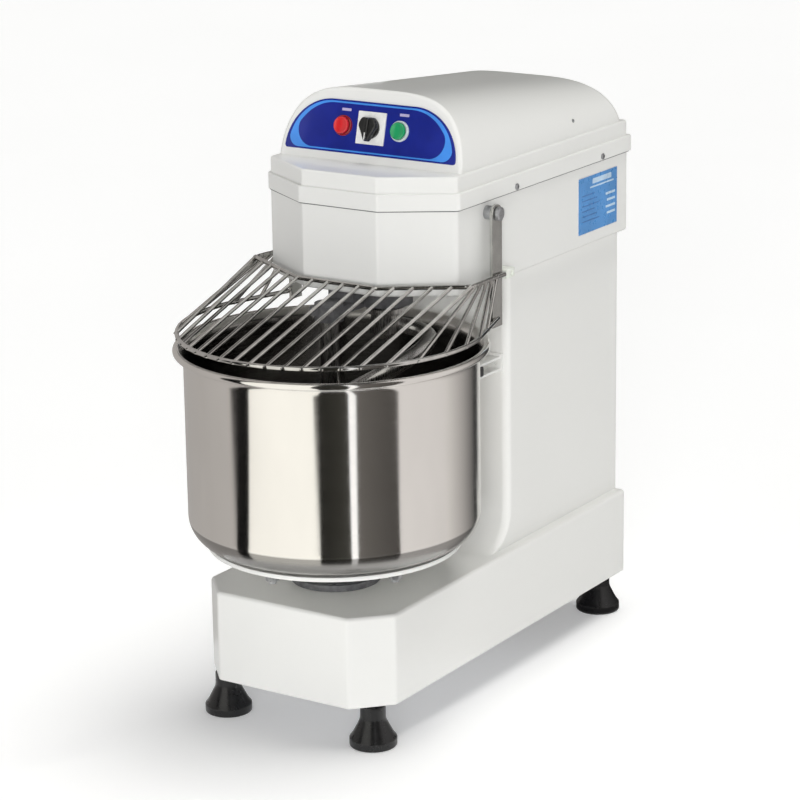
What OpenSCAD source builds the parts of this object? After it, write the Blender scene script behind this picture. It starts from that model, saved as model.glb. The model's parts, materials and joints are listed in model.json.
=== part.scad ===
// Floor-standing spiral dough mixer: fixed head, turning bowl, spiral hook and hinged wire guard.
// Millimetres, +Z up. The front of the machine faces -Y, and the origin is on the floor
// under the middle of the machine's outline.

/* [Base box] */
// Half of the base box's width
base_half = 151.5; // [150:0.5:154]
// Front face of the base box, in front of the origin
base_front = 304.5; // [300:0.5:310]
// Rear face shared by the base, the column and the head
rear_y = 380; // [376:0.5:381]
// Height of the base box's lower edge above the floor
base_z = 59.5; // [56:0.5:62]
// Height of the base box's top face
base_top = 187.3; // [186:0.1:188]
// Depth of the cut front corners, along X
corner_x = 45; // [36:1:50]
// Depth of the cut front corners, along Y
corner_y = 48; // [44:1:56]
// Thickness of the sheet-metal casings
sheet = 3; // [2.5:0.5:3.5]

/* [Feet] */
// Radius of a foot's pad
foot_r = 32.5; // [28:0.5:33]
// Radius of a foot's stem
stem_r = 17.5; // [15:0.5:19]
// Distance of the feet from the middle plane
foot_x = 120; // [114:1:124]
// Front feet, in front of the origin
foot_front = 267; // [262:1:272]
// Rear feet, behind the origin
foot_rear = 353; // [338:1:353]

/* [Column] */
// Half of the column's width
column_half = 136; // [132:1:138]
// Front face of the column, behind the origin
column_front = 62; // [58:1:66]
// Radius of the hollow sweep between the column's front and the base
sweep_r = 55; // [45:1:55]

/* [Head and lid] */
// Half of the head's width
head_half = 151; // [150:0.5:151.5]
// Front face of the head's nose, in front of the origin
nose_front = 148; // [146:1:150]
// Half width of the flat front of the nose
nose_half = 60; // [54:1:64]
// Length of the nose's slanted sides, along Y
nose_slant = 55; // [50:1:60]
// Height of the head's underside
head_z = 586; // [584:1:588]
// Lower edge of the lid's lip
lip_z = 703.3; // [700:0.1:706]
// Upper edge of the lid's lip
lip_top = 726.7; // [724:0.1:729]
// Flat ledge that the lid's dome rises from
ledge_z = 748.8; // [747:0.1:750]
// How far the lid's lip stands out from the head
lip_out = 4; // [3.5:0.5:4.5]
// Dome's front lower edge, in front of the origin
dome_front = 76; // [72:1:80]
// Dome's rear lower edge, behind the origin
dome_rear = 373; // [366:0.5:374]
// Half of the dome's width
dome_half = 146.5; // [145:0.5:148]
// Length of the dome's leaning front face
dome_rise = 101; // [98:0.5:104]
// Length of the dome's leaning rear face
dome_tail = 68; // [60:0.5:70]
// Lean of the dome's front face
dome_lean = 14.3; // [12:0.1:16]
// Lean of the dome's rear face
tail_lean = 25.5; // [20:0.5:28]

/* [Control panel] */
// Lower edge of the panel above the dome's lower edge, along the face
panel_low = 11; // [9:1:13]
// Height of the panel along the face
panel_h = 72; // [66:0.5:72]
// Half of the panel's flat top edge
panel_top_half = 65.3; // [64:0.1:66]
// Height of the button centres along the face
button_h = 48; // [44:1:49]
// Distance of the buttons from the middle plane
button_x = 45.5; // [42:0.5:47]
// Radius of a push button
button_r = 11.7; // [10:0.1:11.7]
// Inward travel of a push button
button_travel = 3.5; // [2:0.5:3.5]

/* [Bowl] */
// Bowl's turning axis, in front of the origin
bowl_y = 172; // [172:1:174]
// Outer radius of the bowl's wall
bowl_r = 200; // [198:1:200]
// Underside of the bowl
bowl_z = 248; // [246:1:249]
// Height of the middle of the rolled rim
rim_z = 517.5; // [514:0.5:520]
// Radius of the rolled rim's bead
bead_r = 5; // [4:0.5:5]
// Radius of the bowl's lower corner
bowl_corner = 40; // [34:1:42]
// Thickness of the bowl's wall
bowl_wall = 2; // [1.5:0.5:2.5]

/* [Hook and breaker bar] */
// Hook's turning axis, to the right of the middle plane
hook_x = 26; // [24:1:27]
// Hook's turning axis, in front of the origin
hook_y = 78; // [77:1:80]
// Radius of the spiral's centre line
spiral_r = 66; // [60:1:66]
// Radius of the spiral's rod
rod_r = 11; // [9:0.5:11]
// Turn of the spiral from top to tip, in degrees
spiral_turn = 470; // [400:10:500]
// Radius of the breaker bar
bar_r = 13; // [11:0.5:13]

/* [Guard] */
// Radius of the guard's lower ring
ring_r = 207; // [205:1:208]
// Height of the guard's lower ring
ring_z = 541; // [538:1:543]
// Height of the guard's upper wire at the nose
crown_z = 601; // [599:1:603]
// Radius of the ring's and the upper wire's rod
ring_wire = 3.2; // [2.8:0.1:3.4]
// Radius of the filling wires
fill_wire = 2.6; // [2.2:0.1:2.8]
// Height of the hinge pins
pivot_z = 687; // [684:1:690]
// Hinge pins, in front of the origin
pivot_y = 17; // [15:1:19]

/* [Drive] */
// Chain pitch
pitch = 12.7; // [12.7:0.1:12.7]
// Teeth of the bowl's sprocket
bowl_teeth = 59; // [55:1:59]
// Teeth of the smaller sprockets in the base
small_teeth = 11; // [11:1:12]
// Teeth of the transfer shaft's large sprocket
transfer_teeth = 37; // [34:1:37]
// Teeth of the countershaft's upper sprocket
counter_teeth = 15; // [14:1:16]
// Teeth of the hook's sprocket
hook_teeth = 30; // [28:1:32]
// Pitch radius of the motor's pulley
motor_pulley_r = 28; // [26:1:30]
// Pitch radius of the countershaft's pulley
counter_pulley_r = 98; // [94:1:100]

/* [Hidden] */
$fn = 64;

eps = 0.01;             // overlap that joins touching shapes
gap = 0.3;              // clearance between parts that move past each other
run = 0.05;             // radial clearance of a running fit
fit = 0.02;             // radial clearance of a fixed fit

motor_y = 290;
counter_y = 150;
transfer_y = 30;
counter_r = 15;
motor_shaft_r = 12;
transfer_r = 12.5;
hook_shaft_r = 20;
bowl_shaft_r = 17.5;

low_chain_z = 92;       // lower face of the sprockets on the first chain in the base
mid_chain_z = 130;      // lower face of the sprockets on the bowl's chain
high_chain_z = 686;     // lower face of the sprockets on the hook's chain
sprocket_h = 7;
pulley_z = 642;
belt_step = 14;
plate_z = 612;          // underside of the bearing plate in the head
plate_t = 6;
mount_z = 540;          // underside of the motor's mounting plate

bar_x = -4;
bar_y = -170;
roller_x = 118;
roller_y = 4.5;
roller_z = 449;
roller_h = 12;
roller_r = norm([roller_x, roller_y + bowl_y]) - bowl_r - gap;

arm_x = 163;            // inner face of a guard arm
arm_t = 5;
arm_w = 25;
corner_pt = [176, -98, 604];
crown_end = [170.8, -4, 601];
nose_pt = [62, -158, crown_z];

function mix(a, b, t) = a + (b - a) * t;
function smooth(t) = let (u = min(max(t, 0), 1)) u * u * (3 - 2 * u);
function sprocket_r(n) = pitch / (2 * sin(180 / n));

// ---- shared shapes ----

// Outline with two cut front corners
module cut_plan(half, front, rear, cx, cy) {
    polygon([
        [-half, rear], [half, rear], [half, front + cy], [half - cx, front],
        [-(half - cx), front], [-half, front + cy]
    ]);
}

// Straight rod between two points
module bare_rod(a, b, r) {
    d = b - a;
    translate(a)
        rotate([0, acos(d.z / norm(d)), atan2(d.y, d.x)])
            cylinder(r = r, h = norm(d));
}

// Outline of a band that runs round two discs
module loop_plan(p1, r1, p2, r2) {
    a = atan2(p2.y - p1.y, p2.x - p1.x);
    b = acos((r1 - r2) / norm(p2 - p1));
    translate(p1) circle(r = r1);
    translate(p2) circle(r = r2);
    polygon([
        p1 + r1 * [cos(a + b), sin(a + b)], p2 + r2 * [cos(a + b), sin(a + b)],
        p2 + r2 * [cos(a - b), sin(a - b)], p1 + r1 * [cos(a - b), sin(a - b)]
    ]);
}

// Chain drawn as its outer envelope: side plates above and below the teeth, closed outside them
module chain_loop(p1, n1, p2, n2, z) {
    r1 = sprocket_r(n1);
    r2 = sprocket_r(n2);
    translate([0, 0, z - 2.5]) difference() {
        linear_extrude(sprocket_h + 5) loop_plan(p1, r1 + 6, p2, r2 + 6);
        translate([0, 0, -1]) linear_extrude(sprocket_h + 7) loop_plan(p1, r1 - 4, p2, r2 - 4);
        translate([0, 0, 2.2]) linear_extrude(sprocket_h + 0.6)
            loop_plan(p1, r1 + 4.2, p2, r2 + 4.2);
    }
}

// Chain sprocket with its hub above the teeth
module sprocket(n, bore, hub_r, hub_h) {
    r = sprocket_r(n);
    step = 360 / n;
    tooth = [[-0.36, -4], [-0.13, 3.6], [0.13, 3.6], [0.36, -4]];
    difference() {
        union() {
            linear_extrude(sprocket_h) polygon([
                for (i = [0 : n - 1], t = tooth)
                    (r + t.y) * [cos((i + t.x) * step), sin((i + t.x) * step)]
            ]);
            cylinder(r = hub_r, h = sprocket_h + hub_h);
        }
        translate([0, 0, -1]) cylinder(r = bore + fit, h = sprocket_h + hub_h + 2);
    }
}

// Two-groove belt pulley
module pulley(r, bore) {
    h = 2 * belt_step + 4;
    difference() {
        cylinder(r = r + 2, h = h);
        for (i = [0, 1]) translate([0, 0, 3 + i * belt_step]) difference() {
            cylinder(r = r + 3, h = 12);
            translate([0, 0, -1]) cylinder(r = r - 7, h = 14);
        }
        translate([0, 0, -1]) cylinder(r = bore + fit, h = h + 2);
    }
}

// Ball bearing drawn as two rings and its shield
module bearing(bore, outer, h) {
    difference() {
        cylinder(r = outer - run, h = h);
        translate([0, 0, -1]) cylinder(r = bore + run, h = h + 2);
        for (z = [-1, h - 1]) translate([0, 0, z]) difference() {
            cylinder(r = outer - 4, h = 2);
            translate([0, 0, -1]) cylinder(r = bore + 4, h = 4);
        }
    }
}

// Places children on the dome's front face: X across, Y up the face, Z outwards
module on_face() {
    translate([0, -dome_front, ledge_z]) rotate([90 - dome_lean, 0, 0]) children();
}

// ---- casings ----

module base_shell() {
    color("whitesmoke") difference() {
        translate([0, 0, base_z]) linear_extrude(base_top - base_z)
            cut_plan(base_half, -base_front, rear_y, corner_x, corner_y);
        translate([0, 0, base_z - 1]) linear_extrude(base_top - base_z + 1 - sheet)
            cut_plan(base_half - sheet, sheet - base_front, rear_y - sheet,
                corner_x - 1.1, corner_y - 1.2);
        translate([0, -bowl_y, base_top - 10]) cylinder(r = 42 + gap, h = 20);
        translate([-110, 75, base_top - 10]) cube([220, 280, 20]);
    }
}

module base_floor() {
    color("silver") difference() {
        translate([0, 0, base_z]) linear_extrude(5)
            cut_plan(base_half - sheet, sheet - base_front, rear_y - sheet,
                corner_x - 1.1, corner_y - 1.2);
        for (x = [-foot_x, foot_x], y = [-foot_front, foot_rear])
            translate([x, y, base_z - 1]) cylinder(r = 6.5, h = 10);
    }
}

module feet() {
    color("black") for (x = [-foot_x, foot_x], y = [-foot_front, foot_rear])
        translate([x, y, 0]) difference() {
            rotate_extrude() polygon([
                [0, 0], [foot_r - 3, 0], [foot_r, 4.5], [foot_r, 11], [foot_r - 1.2, 13.5],
                [stem_r, 38.5], [stem_r, base_z - 2], [0, base_z - 2]
            ]);
            translate([0, 0, 20]) cylinder(r = 6 + fit, h = 50);
        }
}

module foot_studs() {
    color("silver") for (x = [-foot_x, foot_x], y = [-foot_front, foot_rear])
        translate([x, y, 0]) {
            translate([0, 0, 21]) cylinder(r = 6, h = 62);
            translate([0, 0, base_z + 5]) cylinder(r = 10.5, h = 9, $fn = 6);
            translate([0, 0, base_z - 2 + eps]) cylinder(r = 12, h = 2 - 2 * eps);
        }
}

// Side view of the column with the hollow sweep at its foot; t is the sheet taken off
module column_profile(t) {
    front = column_front + t;
    difference() {
        union() {
            translate([front, base_top - 1]) square([rear_y - front + t, head_z - base_top + 1]);
            translate([column_front - sweep_r, base_top - 1])
                square([sweep_r + t + eps, sweep_r + 1]);
        }
        translate([column_front - sweep_r, base_top + sweep_r]) circle(r = sweep_r + t, $fn = 96);
        translate([0, base_top - 10]) square([rear_y * 2, 10 - eps]);
    }
}

module column_shell() {
    color("whitesmoke") {
        difference() {
            translate([-column_half, 0, 0]) rotate([90, 0, 90])
                linear_extrude(2 * column_half) column_profile(0);
            translate([sheet - column_half, 0, 0]) rotate([90, 0, 90])
                linear_extrude(2 * (column_half - sheet)) column_profile(sheet);
            translate([-column_half, 0, base_top - 1]) cube([2 * column_half, rear_y, 1]);
            for (x = [-1, 1]) translate([x * roller_x, column_front - 5, roller_z + roller_h / 2])
                rotate([-90, 0, 0]) cylinder(r = 3.2, h = 15);
        }
        for (x = [-column_half + sheet - eps, column_half - sheet - 18 + eps])
            translate([x, rear_y - 5, base_top]) cube([18, 3 - eps, head_z - base_top]);
    }
}

module rear_panel() {
    w = column_half - sheet - 0.5;
    color("whitesmoke") {
        difference() {
            translate([-w, rear_y - 2, base_top + 2]) cube([2 * w, 2, head_z - base_top - 4]);
            for (i = [0 : 6], x = [-65, 65])
                translate([x - 45, rear_y - 5, 420 + i * 18]) cube([90, 10, 5]);
            translate([-90, rear_y - 5, 215]) rotate([-90, 0, 0]) cylinder(r = 10.2, h = 10);
        }
        for (i = [0 : 6], x = [-65, 65]) translate([x - 47, rear_y - eps, 425 + i * 18])
            intersection() {
                rotate([0, 90, 0]) cylinder(r = 6, h = 94);
                translate([-1, 0, -2]) cube([96, 8, 10]);
            }
    }
}

module case_screws() {
    color("silver") {
        for (s = [-1, 1], y = [56.5, 297]) translate([s * (head_half + lip_out - 2), y, 709])
            rotate([0, s * 90, 0]) {
                cylinder(r = 2, h = 3);
                translate([0, 0, 2]) cylinder(r = 4.5, h = 2.4);
            }
        for (s = [-1, 1]) translate([s * 140, 232, 770]) rotate([0, s * 90, 0])
            cylinder(r = 3, h = 5);
        for (s = [-1, 1], z = [205, 330, 455, 568]) translate([s * 124, rear_y - 4, z])
            rotate([-90, 0, 0]) {
                cylinder(r = 2, h = 5);
                translate([0, 0, 4]) cylinder(r = 4.5, h = 2.4);
            }
    }
}

module head_plan(inset) {
    cut_plan(head_half - inset, inset - nose_front, rear_y - inset,
        head_half - nose_half - 0.3 * inset, nose_slant - 0.7 * inset);
}

module head_shell() {
    color("whitesmoke") difference() {
        translate([0, 0, head_z]) linear_extrude(lip_top - head_z - 2) head_plan(0);
        translate([0, 0, head_z + sheet]) linear_extrude(lip_top - head_z) head_plan(sheet);
        translate([hook_x, -hook_y, head_z - 5]) cylinder(r = 38 + gap, h = 20);
        translate([-110, 75, head_z - 5]) cube([220, 285, 20]);
        for (s = [-1, 1]) translate([s * head_half, -pivot_y, pivot_z])
            rotate([0, 90, 0]) cylinder(r = 6, h = 12, center = true);
    }
}

// Bearing bridge inside the head: a plate on two side legs
module head_plate() {
    w = head_half - sheet - 3;
    color("silver") difference() {
        union() {
            translate([-w, -85, plate_z]) cube([2 * w, 450, plate_t]);
            for (x = [-w, w - 5]) translate([x, -85, head_z + sheet])
                cube([5, 450, plate_z - head_z - sheet + eps]);
        }
        translate([hook_x, -hook_y, plate_z - 5]) cylinder(r = 38 + gap, h = 20);
        translate([0, counter_y, plate_z - 5]) cylinder(r = counter_r + 6, h = 20);
        translate([0, motor_y, plate_z - 5]) cylinder(r = 25, h = 20);
    }
}

// ---- lid ----

// Point on a dome section: t runs from one lower edge over the top to the other
function arch(t, w, h) =
    [w * sign(cos(t)) * sqrt(abs(cos(t))), h * sin(t)];

function face_point(p) =
    [p.x, -dome_front + p.y * sin(dome_lean), ledge_z + p.y * cos(dome_lean)];

function tail_point(p) =
    [p.x, dome_rear - p.y * sin(tail_lean), ledge_z + p.y * cos(tail_lean)];

// Ring of points across the dome: f is the way from the front face to the tail,
// off the distance inside the dome's skin, drop how far the sides reach below the ledge
function dome_ring(f, off, drop, n) = [
    for (i = [-1 : n + 1])
        let (
            t = 180 - 180 * min(max(i, 0), n) / n,
            low = (i < 0 || i > n) ? drop : 0,
            a = arch(t, dome_half - off, dome_rise - off) - [0, low],
            b = arch(t, dome_half - off, dome_tail - off) - [0, low]
        ) mix(face_point(a), tail_point(b), f)
];

// Loft through rings of equal length, closed at both ends and along the lower edges
module ring_loft(rings) {
    m = len(rings[0]);
    k = len(rings);
    pts = [for (r = rings, p = r) p];
    polyhedron(
        points = pts,
        faces = concat(
            [[for (i = [0 : m - 1]) i]],
            [[for (i = [0 : m - 1]) k * m - 1 - i]],
            [for (j = [0 : k - 2], i = [0 : m - 1]) let (i2 = (i + 1) % m)
                [j * m + i, (j + 1) * m + i2, j * m + i2]],
            [for (j = [0 : k - 2], i = [0 : m - 1]) let (i2 = (i + 1) % m)
                [j * m + i, (j + 1) * m + i, (j + 1) * m + i2]]
        )
    );
}

module dome_solid(off, drop) {
    n = 40;
    len_y = dome_rear + dome_front;
    front_round = 5;
    tail_round = 14;
    // the rounding runs from the flat face (small f, large inset) to the skin
    rings = concat(
        [for (a = [90 : -30 : 0])
            dome_ring((off + front_round * (1 - sin(a))) / len_y,
                off + front_round * (1 - cos(a)), drop, n)],
        [for (a = [0 : 22.5 : 90])
            dome_ring(1 - (off + tail_round * (1 - sin(a))) / len_y,
                off + tail_round * (1 - cos(a)), drop, n)]
    );
    ring_loft(rings);
}

module lid_plan(inset, out) {
    cut_plan(head_half + out - inset, inset - nose_front - out * 0.75,
        rear_y + out * 1.5 - inset,
        head_half - nose_half + out * 0.25 - 0.3 * inset, nose_slant + out * 0.75 - 0.7 * inset);
}

module lid() {
    color("whitesmoke") difference() {
        union() {
            translate([0, 0, lip_z]) linear_extrude(lip_top - lip_z) lid_plan(0, lip_out);
            translate([0, 0, lip_top - eps]) linear_extrude(ledge_z - lip_top + eps) head_plan(0);
            dome_solid(0, 2);
        }
        translate([0, 0, lip_z - 1]) linear_extrude(lip_top - lip_z - 1) head_plan(-0.4);
        translate([0, 0, lip_top - 4]) linear_extrude(ledge_z - lip_top + 1) head_plan(sheet);
        dome_solid(sheet, 12);
        on_face() for (x = [-button_x, 0, button_x])
            translate([x, button_h, -10]) cylinder(r = 7.5, h = 20);
    }
}

// ---- controls ----

module control_panel() {
    color("navy") on_face() difference() {
        linear_extrude(1.6) intersection() {
            union() {
                for (x = [-panel_top_half, panel_top_half])
                    translate([x, panel_low]) circle(r = panel_h, $fn = 96);
                translate([-panel_top_half, panel_low]) square([2 * panel_top_half, panel_h]);
            }
            translate([-200, panel_low]) square([400, 200]);
        }
        for (x = [-button_x, 0, button_x])
            translate([x, button_h, -1]) cylinder(r = 7.5, h = 4);
    }
}

module button_bezels() {
    color("gainsboro") on_face() for (x = [-button_x, button_x])
        translate([x, button_h, 1.6]) difference() {
            cylinder(r = button_r + 2.6, h = 3.2);
            translate([0, 0, -1]) cylinder(r = button_r + gap, h = 6);
        }
}

module switch_plate() {
    color("white") on_face() translate([0, button_h, 1.6]) difference() {
        translate([-22.2, -22.2, 0]) cube([44.4, 44.4, 2]);
        translate([0, 0, -1]) cylinder(r = 4 + gap, h = 6);
    }
}

module switch_blocks() {
    color("dimgray") on_face() for (x = [-button_x, 0, button_x])
        translate([x, button_h, -42]) difference() {
            translate([-13, -17, 0]) cube([26, 34, 38]);
            translate([0, 0, 10]) cylinder(r = 5 + gap, h = 40);
        }
}

module push_button() {
    on_face_z = 1.6 + button_travel + 0.3;
    translate([0, button_h, 0]) {
        translate([0, 0, on_face_z]) {
            cylinder(r = button_r, h = 4);
            translate([0, 0, 4 - eps]) cylinder(r1 = button_r, r2 = button_r - 1.6, h = 1.6);
        }
        translate([0, 0, -22]) cylinder(r = 5, h = 22 + on_face_z + eps);
    }
}

module stop_button() {
    color("red") on_face() translate([-button_x, 0, 0]) push_button();
}

module start_button() {
    color("green") on_face() translate([button_x, 0, 0]) push_button();
}

module selector_knob() {
    color("black") on_face() translate([0, button_h, 0]) {
        translate([0, 0, -20]) cylinder(r = 4, h = 25);
        translate([0, 0, 3.9]) cylinder(r = 14.5, h = 5);
        translate([-4.5, -14, 8.9 - eps]) cube([9, 28, 9]);
        for (s = [-1, 1]) translate([0, s * 14, 8.9 - eps]) cylinder(r = 4.5, h = 9);
    }
}

module rating_plate() {
    color("lightskyblue") translate([head_half, 233, 603]) cube([0.8, 115, 84]);
}

// ---- guard and its safety switch ----

module interlock_housing() {
    color("white") difference() {
        translate([head_half, 3, 592.5]) cube([19, 22, 12.5]);
        translate([head_half + 16.5, 17, 598.7]) rotate([0, 90, 0]) cylinder(r = 3.6, h = 5);
        translate([arm_x, -2, 598]) rotate([-90, 0, 0]) cylinder(r = 4 + run, h = 22);
    }
}

module interlock_plunger() {
    color("black") translate([arm_x, -pivot_y + arm_w / 2 + gap, 598]) rotate([-90, 0, 0])
        cylinder(r = 4, h = 20);
}

module guard_pivot_pins() {
    color("silver") for (s = [-1, 1]) translate([0, -pivot_y, pivot_z]) rotate([0, s * 90, 0]) {
        translate([0, 0, head_half - sheet - 4]) cylinder(r = 5.95, h = 175 - head_half + 6);
        translate([0, 0, head_half]) cylinder(r = 9.5, h = arm_x - gap - head_half);
        translate([0, 0, arm_x + arm_t + gap]) cylinder(r = 9.5, h = 5.5);
        translate([0, 0, arm_x + arm_t + gap + 5]) cylinder(r1 = 9.5, r2 = 7, h = 1.6);
        translate([0, 0, head_half - sheet - 7]) cylinder(r = 10, h = 7 - eps, $fn = 6);
    }
}

// Point on the lower ring, phi degrees round from its front; past the tangent point it runs
// straight to the arms
function ring_point(phi, s) =
    let (tangent = 108, over = max(phi - tangent, 0) * PI / 180 * ring_r, a = min(phi, tangent))
    [s * (ring_r * sin(a) + over * cos(a)), -bowl_y - ring_r * cos(a) + over * sin(a), ring_z];

ring_end_phi = 135.4;

module guard_ring() {
    color("silver") {
        translate([0, -bowl_y, ring_z]) rotate([0, 0, -198]) rotate_extrude(angle = 216, $fn = 96)
            translate([ring_r, 0]) circle(r = ring_wire, $fn = 24);
        for (s = [-1, 1])
            bare_rod(ring_point(108, s), ring_point(ring_end_phi, s), ring_wire, $fn = 24);
    }
}

// Rings of a mitred bar: each is slid along its segment onto the next joint plane
function bar_rings(path, ring, i = 0) =
    i == len(path) - 1 ? [ring]
    : let (
        d = path[i + 1] - path[i],
        e = i + 2 < len(path) ? path[i + 2] - path[i + 1] : d,
        m = d / norm(d) + e / norm(e)
    )
    concat([ring],
        bar_rings(path, [for (p = ring) p + d * ((path[i + 1] - p) * m) / (d * m)], i + 1));

module guard_crown() {
    function side(p, s) = [s * p.x, p.y, p.z];
    path = [side(crown_end, -1), side(corner_pt, -1), side(nose_pt, -1), nose_pt, corner_pt,
        crown_end];
    d = path[1] - path[0];
    u = cross([0, 0, 1], d);
    v = cross(d, u);
    start = [for (k = [0 : 23])
        path[0] + ring_wire * (cos(15 * k) * u / norm(u) + sin(15 * k) * v / norm(v))];
    color("silver") ring_loft(bar_rings(path, start));
}

// Filling wires of one side, as [place on the crown, angle on the ring]
slant_len = norm(corner_pt - nose_pt);
function crown_point(d) =
    d <= nose_pt.x ? [d, nose_pt.y, nose_pt.z]
    : d <= nose_pt.x + slant_len ? mix(nose_pt, corner_pt, (d - nose_pt.x) / slant_len)
    : mix(corner_pt, crown_end, (d - nose_pt.x - slant_len) / norm(crown_end - corner_pt));

wire_count = 13;
wire_step = 24.8;
function wire_crown(k) =
    k < 8 ? wire_step * (k + 0.5) + max(k - 2, 0) : nose_pt.x + slant_len + 14.4 * (k - 7);
function wire_phi(k) = k < 7 ? 3.4 + 6.8 * k : 54 + 12.8 * (k - 7);

module guard_wires() {
    color("silver") for (s = [-1, 1], k = [0 : wire_count - 1]) {
        top = crown_point(wire_crown(k));
        bare_rod([s * top.x, top.y, top.z], ring_point(wire_phi(k), s), fill_wire);
    }
}

module guard_arms() {
    color("silver") for (s = [-1, 1]) difference() {
        union() {
            translate([s * (arm_x + arm_t / 2) - arm_t / 2, -pivot_y - arm_w / 2, 530])
                cube([arm_t, arm_w, pivot_z - 530]);
            translate([s * (arm_x + arm_t / 2), -pivot_y, pivot_z]) rotate([0, 90, 0])
                cylinder(r = arm_w / 2, h = arm_t, center = true);
        }
        translate([s * arm_x, -pivot_y, pivot_z]) rotate([0, 90, 0])
            cylinder(r = 5.95 + run, h = 30, center = true);
    }
}

// ---- bowl and its drive ----

// Points of an arc about c
function arc_points(c, r, a0, a1, n) =
    [for (i = [0 : n]) c + r * [cos(mix(a0, a1, i / n)), sin(mix(a0, a1, i / n))]];

// Side view of the bowl: up the outside, round the rolled rim, and down the inside
module bowl_profile() {
    c = bowl_corner;
    inner = bowl_r - bowl_wall;
    corner = [bowl_r - c, bowl_z + c];
    polygon(concat(
        [[0, bowl_z]],
        arc_points(corner, c, -90, 0, 12),
        [[bowl_r, rim_z - 13], [bowl_r + 1.2, rim_z - 8]],
        arc_points([bowl_r + 9, rim_z], bead_r, -150, 145, 16),
        [[inner + 2.6, rim_z - 3.5], [inner + 0.4, rim_z - 10]],
        arc_points(corner, c - bowl_wall, 0, -90, 12),
        [[0, bowl_z + bowl_wall]]
    ));
}

module bowl() {
    color("lightgray") translate([0, -bowl_y, 0]) rotate_extrude($fn = 128) bowl_profile();
}

turntable_z = bowl_z - 7;

module turntable() {
    color("whitesmoke") translate([0, -bowl_y, 0]) difference() {
        union() {
            translate([0, 0, turntable_z]) cylinder(r = 175, h = 7, $fn = 128);
            translate([0, 0, turntable_z - 9]) cylinder(r = 60, h = 9 + eps);
        }
        translate([0, 0, turntable_z - 20]) cylinder(r = bowl_shaft_r + fit, h = 40);
        for (a = [0 : 60 : 300]) rotate([0, 0, a + 33]) translate([163, 0, turntable_z - 1])
            cylinder(r = 5 + fit, h = 10);
    }
}

module turntable_bolts() {
    color("dimgray") translate([0, -bowl_y, 0]) for (a = [0 : 60 : 300])
        rotate([0, 0, a + 33]) translate([163, 0, turntable_z]) {
            cylinder(r = 5, h = 7);
            translate([0, 0, -11]) cylinder(r = 5, h = 11 + eps);
            translate([0, 0, -7]) cylinder(r = 9, h = 7 - eps, $fn = 6);
        }
}

module bowl_shaft() {
    color("silver") translate([0, -bowl_y, 70]) cylinder(r = bowl_shaft_r, h = bowl_z - 70);
}

module bowl_sprocket() {
    color("dimgray") translate([0, -bowl_y, mid_chain_z])
        sprocket(bowl_teeth, bowl_shaft_r, 34, 8);
}

module bowl_bearing_housing() {
    color("dimgray") translate([0, -bowl_y, 0]) difference() {
        union() {
            translate([0, 0, 152]) cylinder(r = 42, h = 76);
            translate([0, 0, base_top]) cylinder(r = 62, h = 9);
        }
        translate([0, 0, 150]) cylinder(r = 31, h = 90);
        for (a = [0 : 60 : 300]) rotate([0, 0, a]) translate([52, 0, base_top - 1])
            cylinder(r = 4.5, h = 12);
    }
}

// ---- hook, breaker bar and their housing ----

// Centre line of the spiral: out from the shaft, round and down, and in again at the tip
function spiral_at(t) =
    let (
        a = 70 - spiral_turn * t,
        r = spiral_r * (smooth(t / 0.14) - 0.62 * smooth((t - 0.86) / 0.14)),
        z = mix(532, 277, smooth(t * 0.9 + 0.05) * 1.028 - 0.0075)
    ) [r * cos(a), r * sin(a), z];

module spiral_hook() {
    n = 72;
    sides = 12;
    path = [for (i = [0 : n]) spiral_at(i / n)];
    dirs = [for (i = [0 : n])
        let (d = path[min(i + 1, n)] - path[max(i - 1, 0)]) d / norm(d)];
    rings = [for (i = [0 : n])
        let (
            u = cross([0, 0, 1], dirs[i]),
            side = norm(u) < 0.01 ? [1, 0, 0] : u / norm(u),
            up = cross(dirs[i], side),
            r = rod_r * (i == 0 || i == n ? 0.55 : 1)
        )
        [for (k = [0 : sides - 1]) path[i] + r * (cos(360 * k / sides) * side
            + sin(360 * k / sides) * up)]
    ];
    color("silver") translate([hook_x, -hook_y, 0]) difference() {
        ring_loft(rings);
        translate([0, 0, 505]) cylinder(r = hook_shaft_r + 0.03, h = 60, $fn = 96);
    }
}

module hook_shaft() {
    color("silver") translate([hook_x, -hook_y, 0]) {
        translate([0, 0, 518]) cylinder(r = hook_shaft_r, h = 186);
        translate([0, 0, 518 - 8 + eps]) cylinder(r1 = 12, r2 = hook_shaft_r, h = 8);
        translate([0, 0, 548]) cylinder(r = 27, h = 8);
    }
}

module hook_sprocket() {
    color("dimgray") translate([hook_x, -hook_y, high_chain_z])
        sprocket(hook_teeth, hook_shaft_r, 32, 8);
}

module hook_bearing_housing() {
    color("dimgray") translate([hook_x, -hook_y, 0]) difference() {
        union() {
            translate([0, 0, 560]) cylinder(r = 38, h = 88);
            translate([0, 0, plate_z + plate_t]) cylinder(r = 58, h = 9);
        }
        translate([0, 0, 566]) cylinder(r = 34, h = 90);
        translate([0, 0, 550]) cylinder(r = hook_shaft_r + 0.6, h = 30);
    }
}

module breaker_bar() {
    color("silver") translate([bar_x, bar_y, 0]) {
        translate([0, 0, 268]) cylinder(r = bar_r, h = 304);
        translate([0, 0, 264]) cylinder(r1 = bar_r - 4, r2 = bar_r, h = 4 + eps);
    }
}

module breaker_bracket() {
    color("dimgray") difference() {
        union() {
            translate([bar_x - 20, bar_y - 18, 560]) cube([40, 100, 12]);
            translate([bar_x - 20, -nose_front + 6, 572 - eps]) cube([40, 54, 14 + eps]);
            translate([bar_x, bar_y, 552]) cylinder(r = 20, h = 24);
        }
        translate([bar_x, bar_y, 540]) cylinder(r = bar_r + fit, h = 32);
        translate([hook_x, -hook_y, 540]) cylinder(r = 38 + 1, h = 60);
    }
}

// ---- shafts, bearings and motor ----

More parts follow.
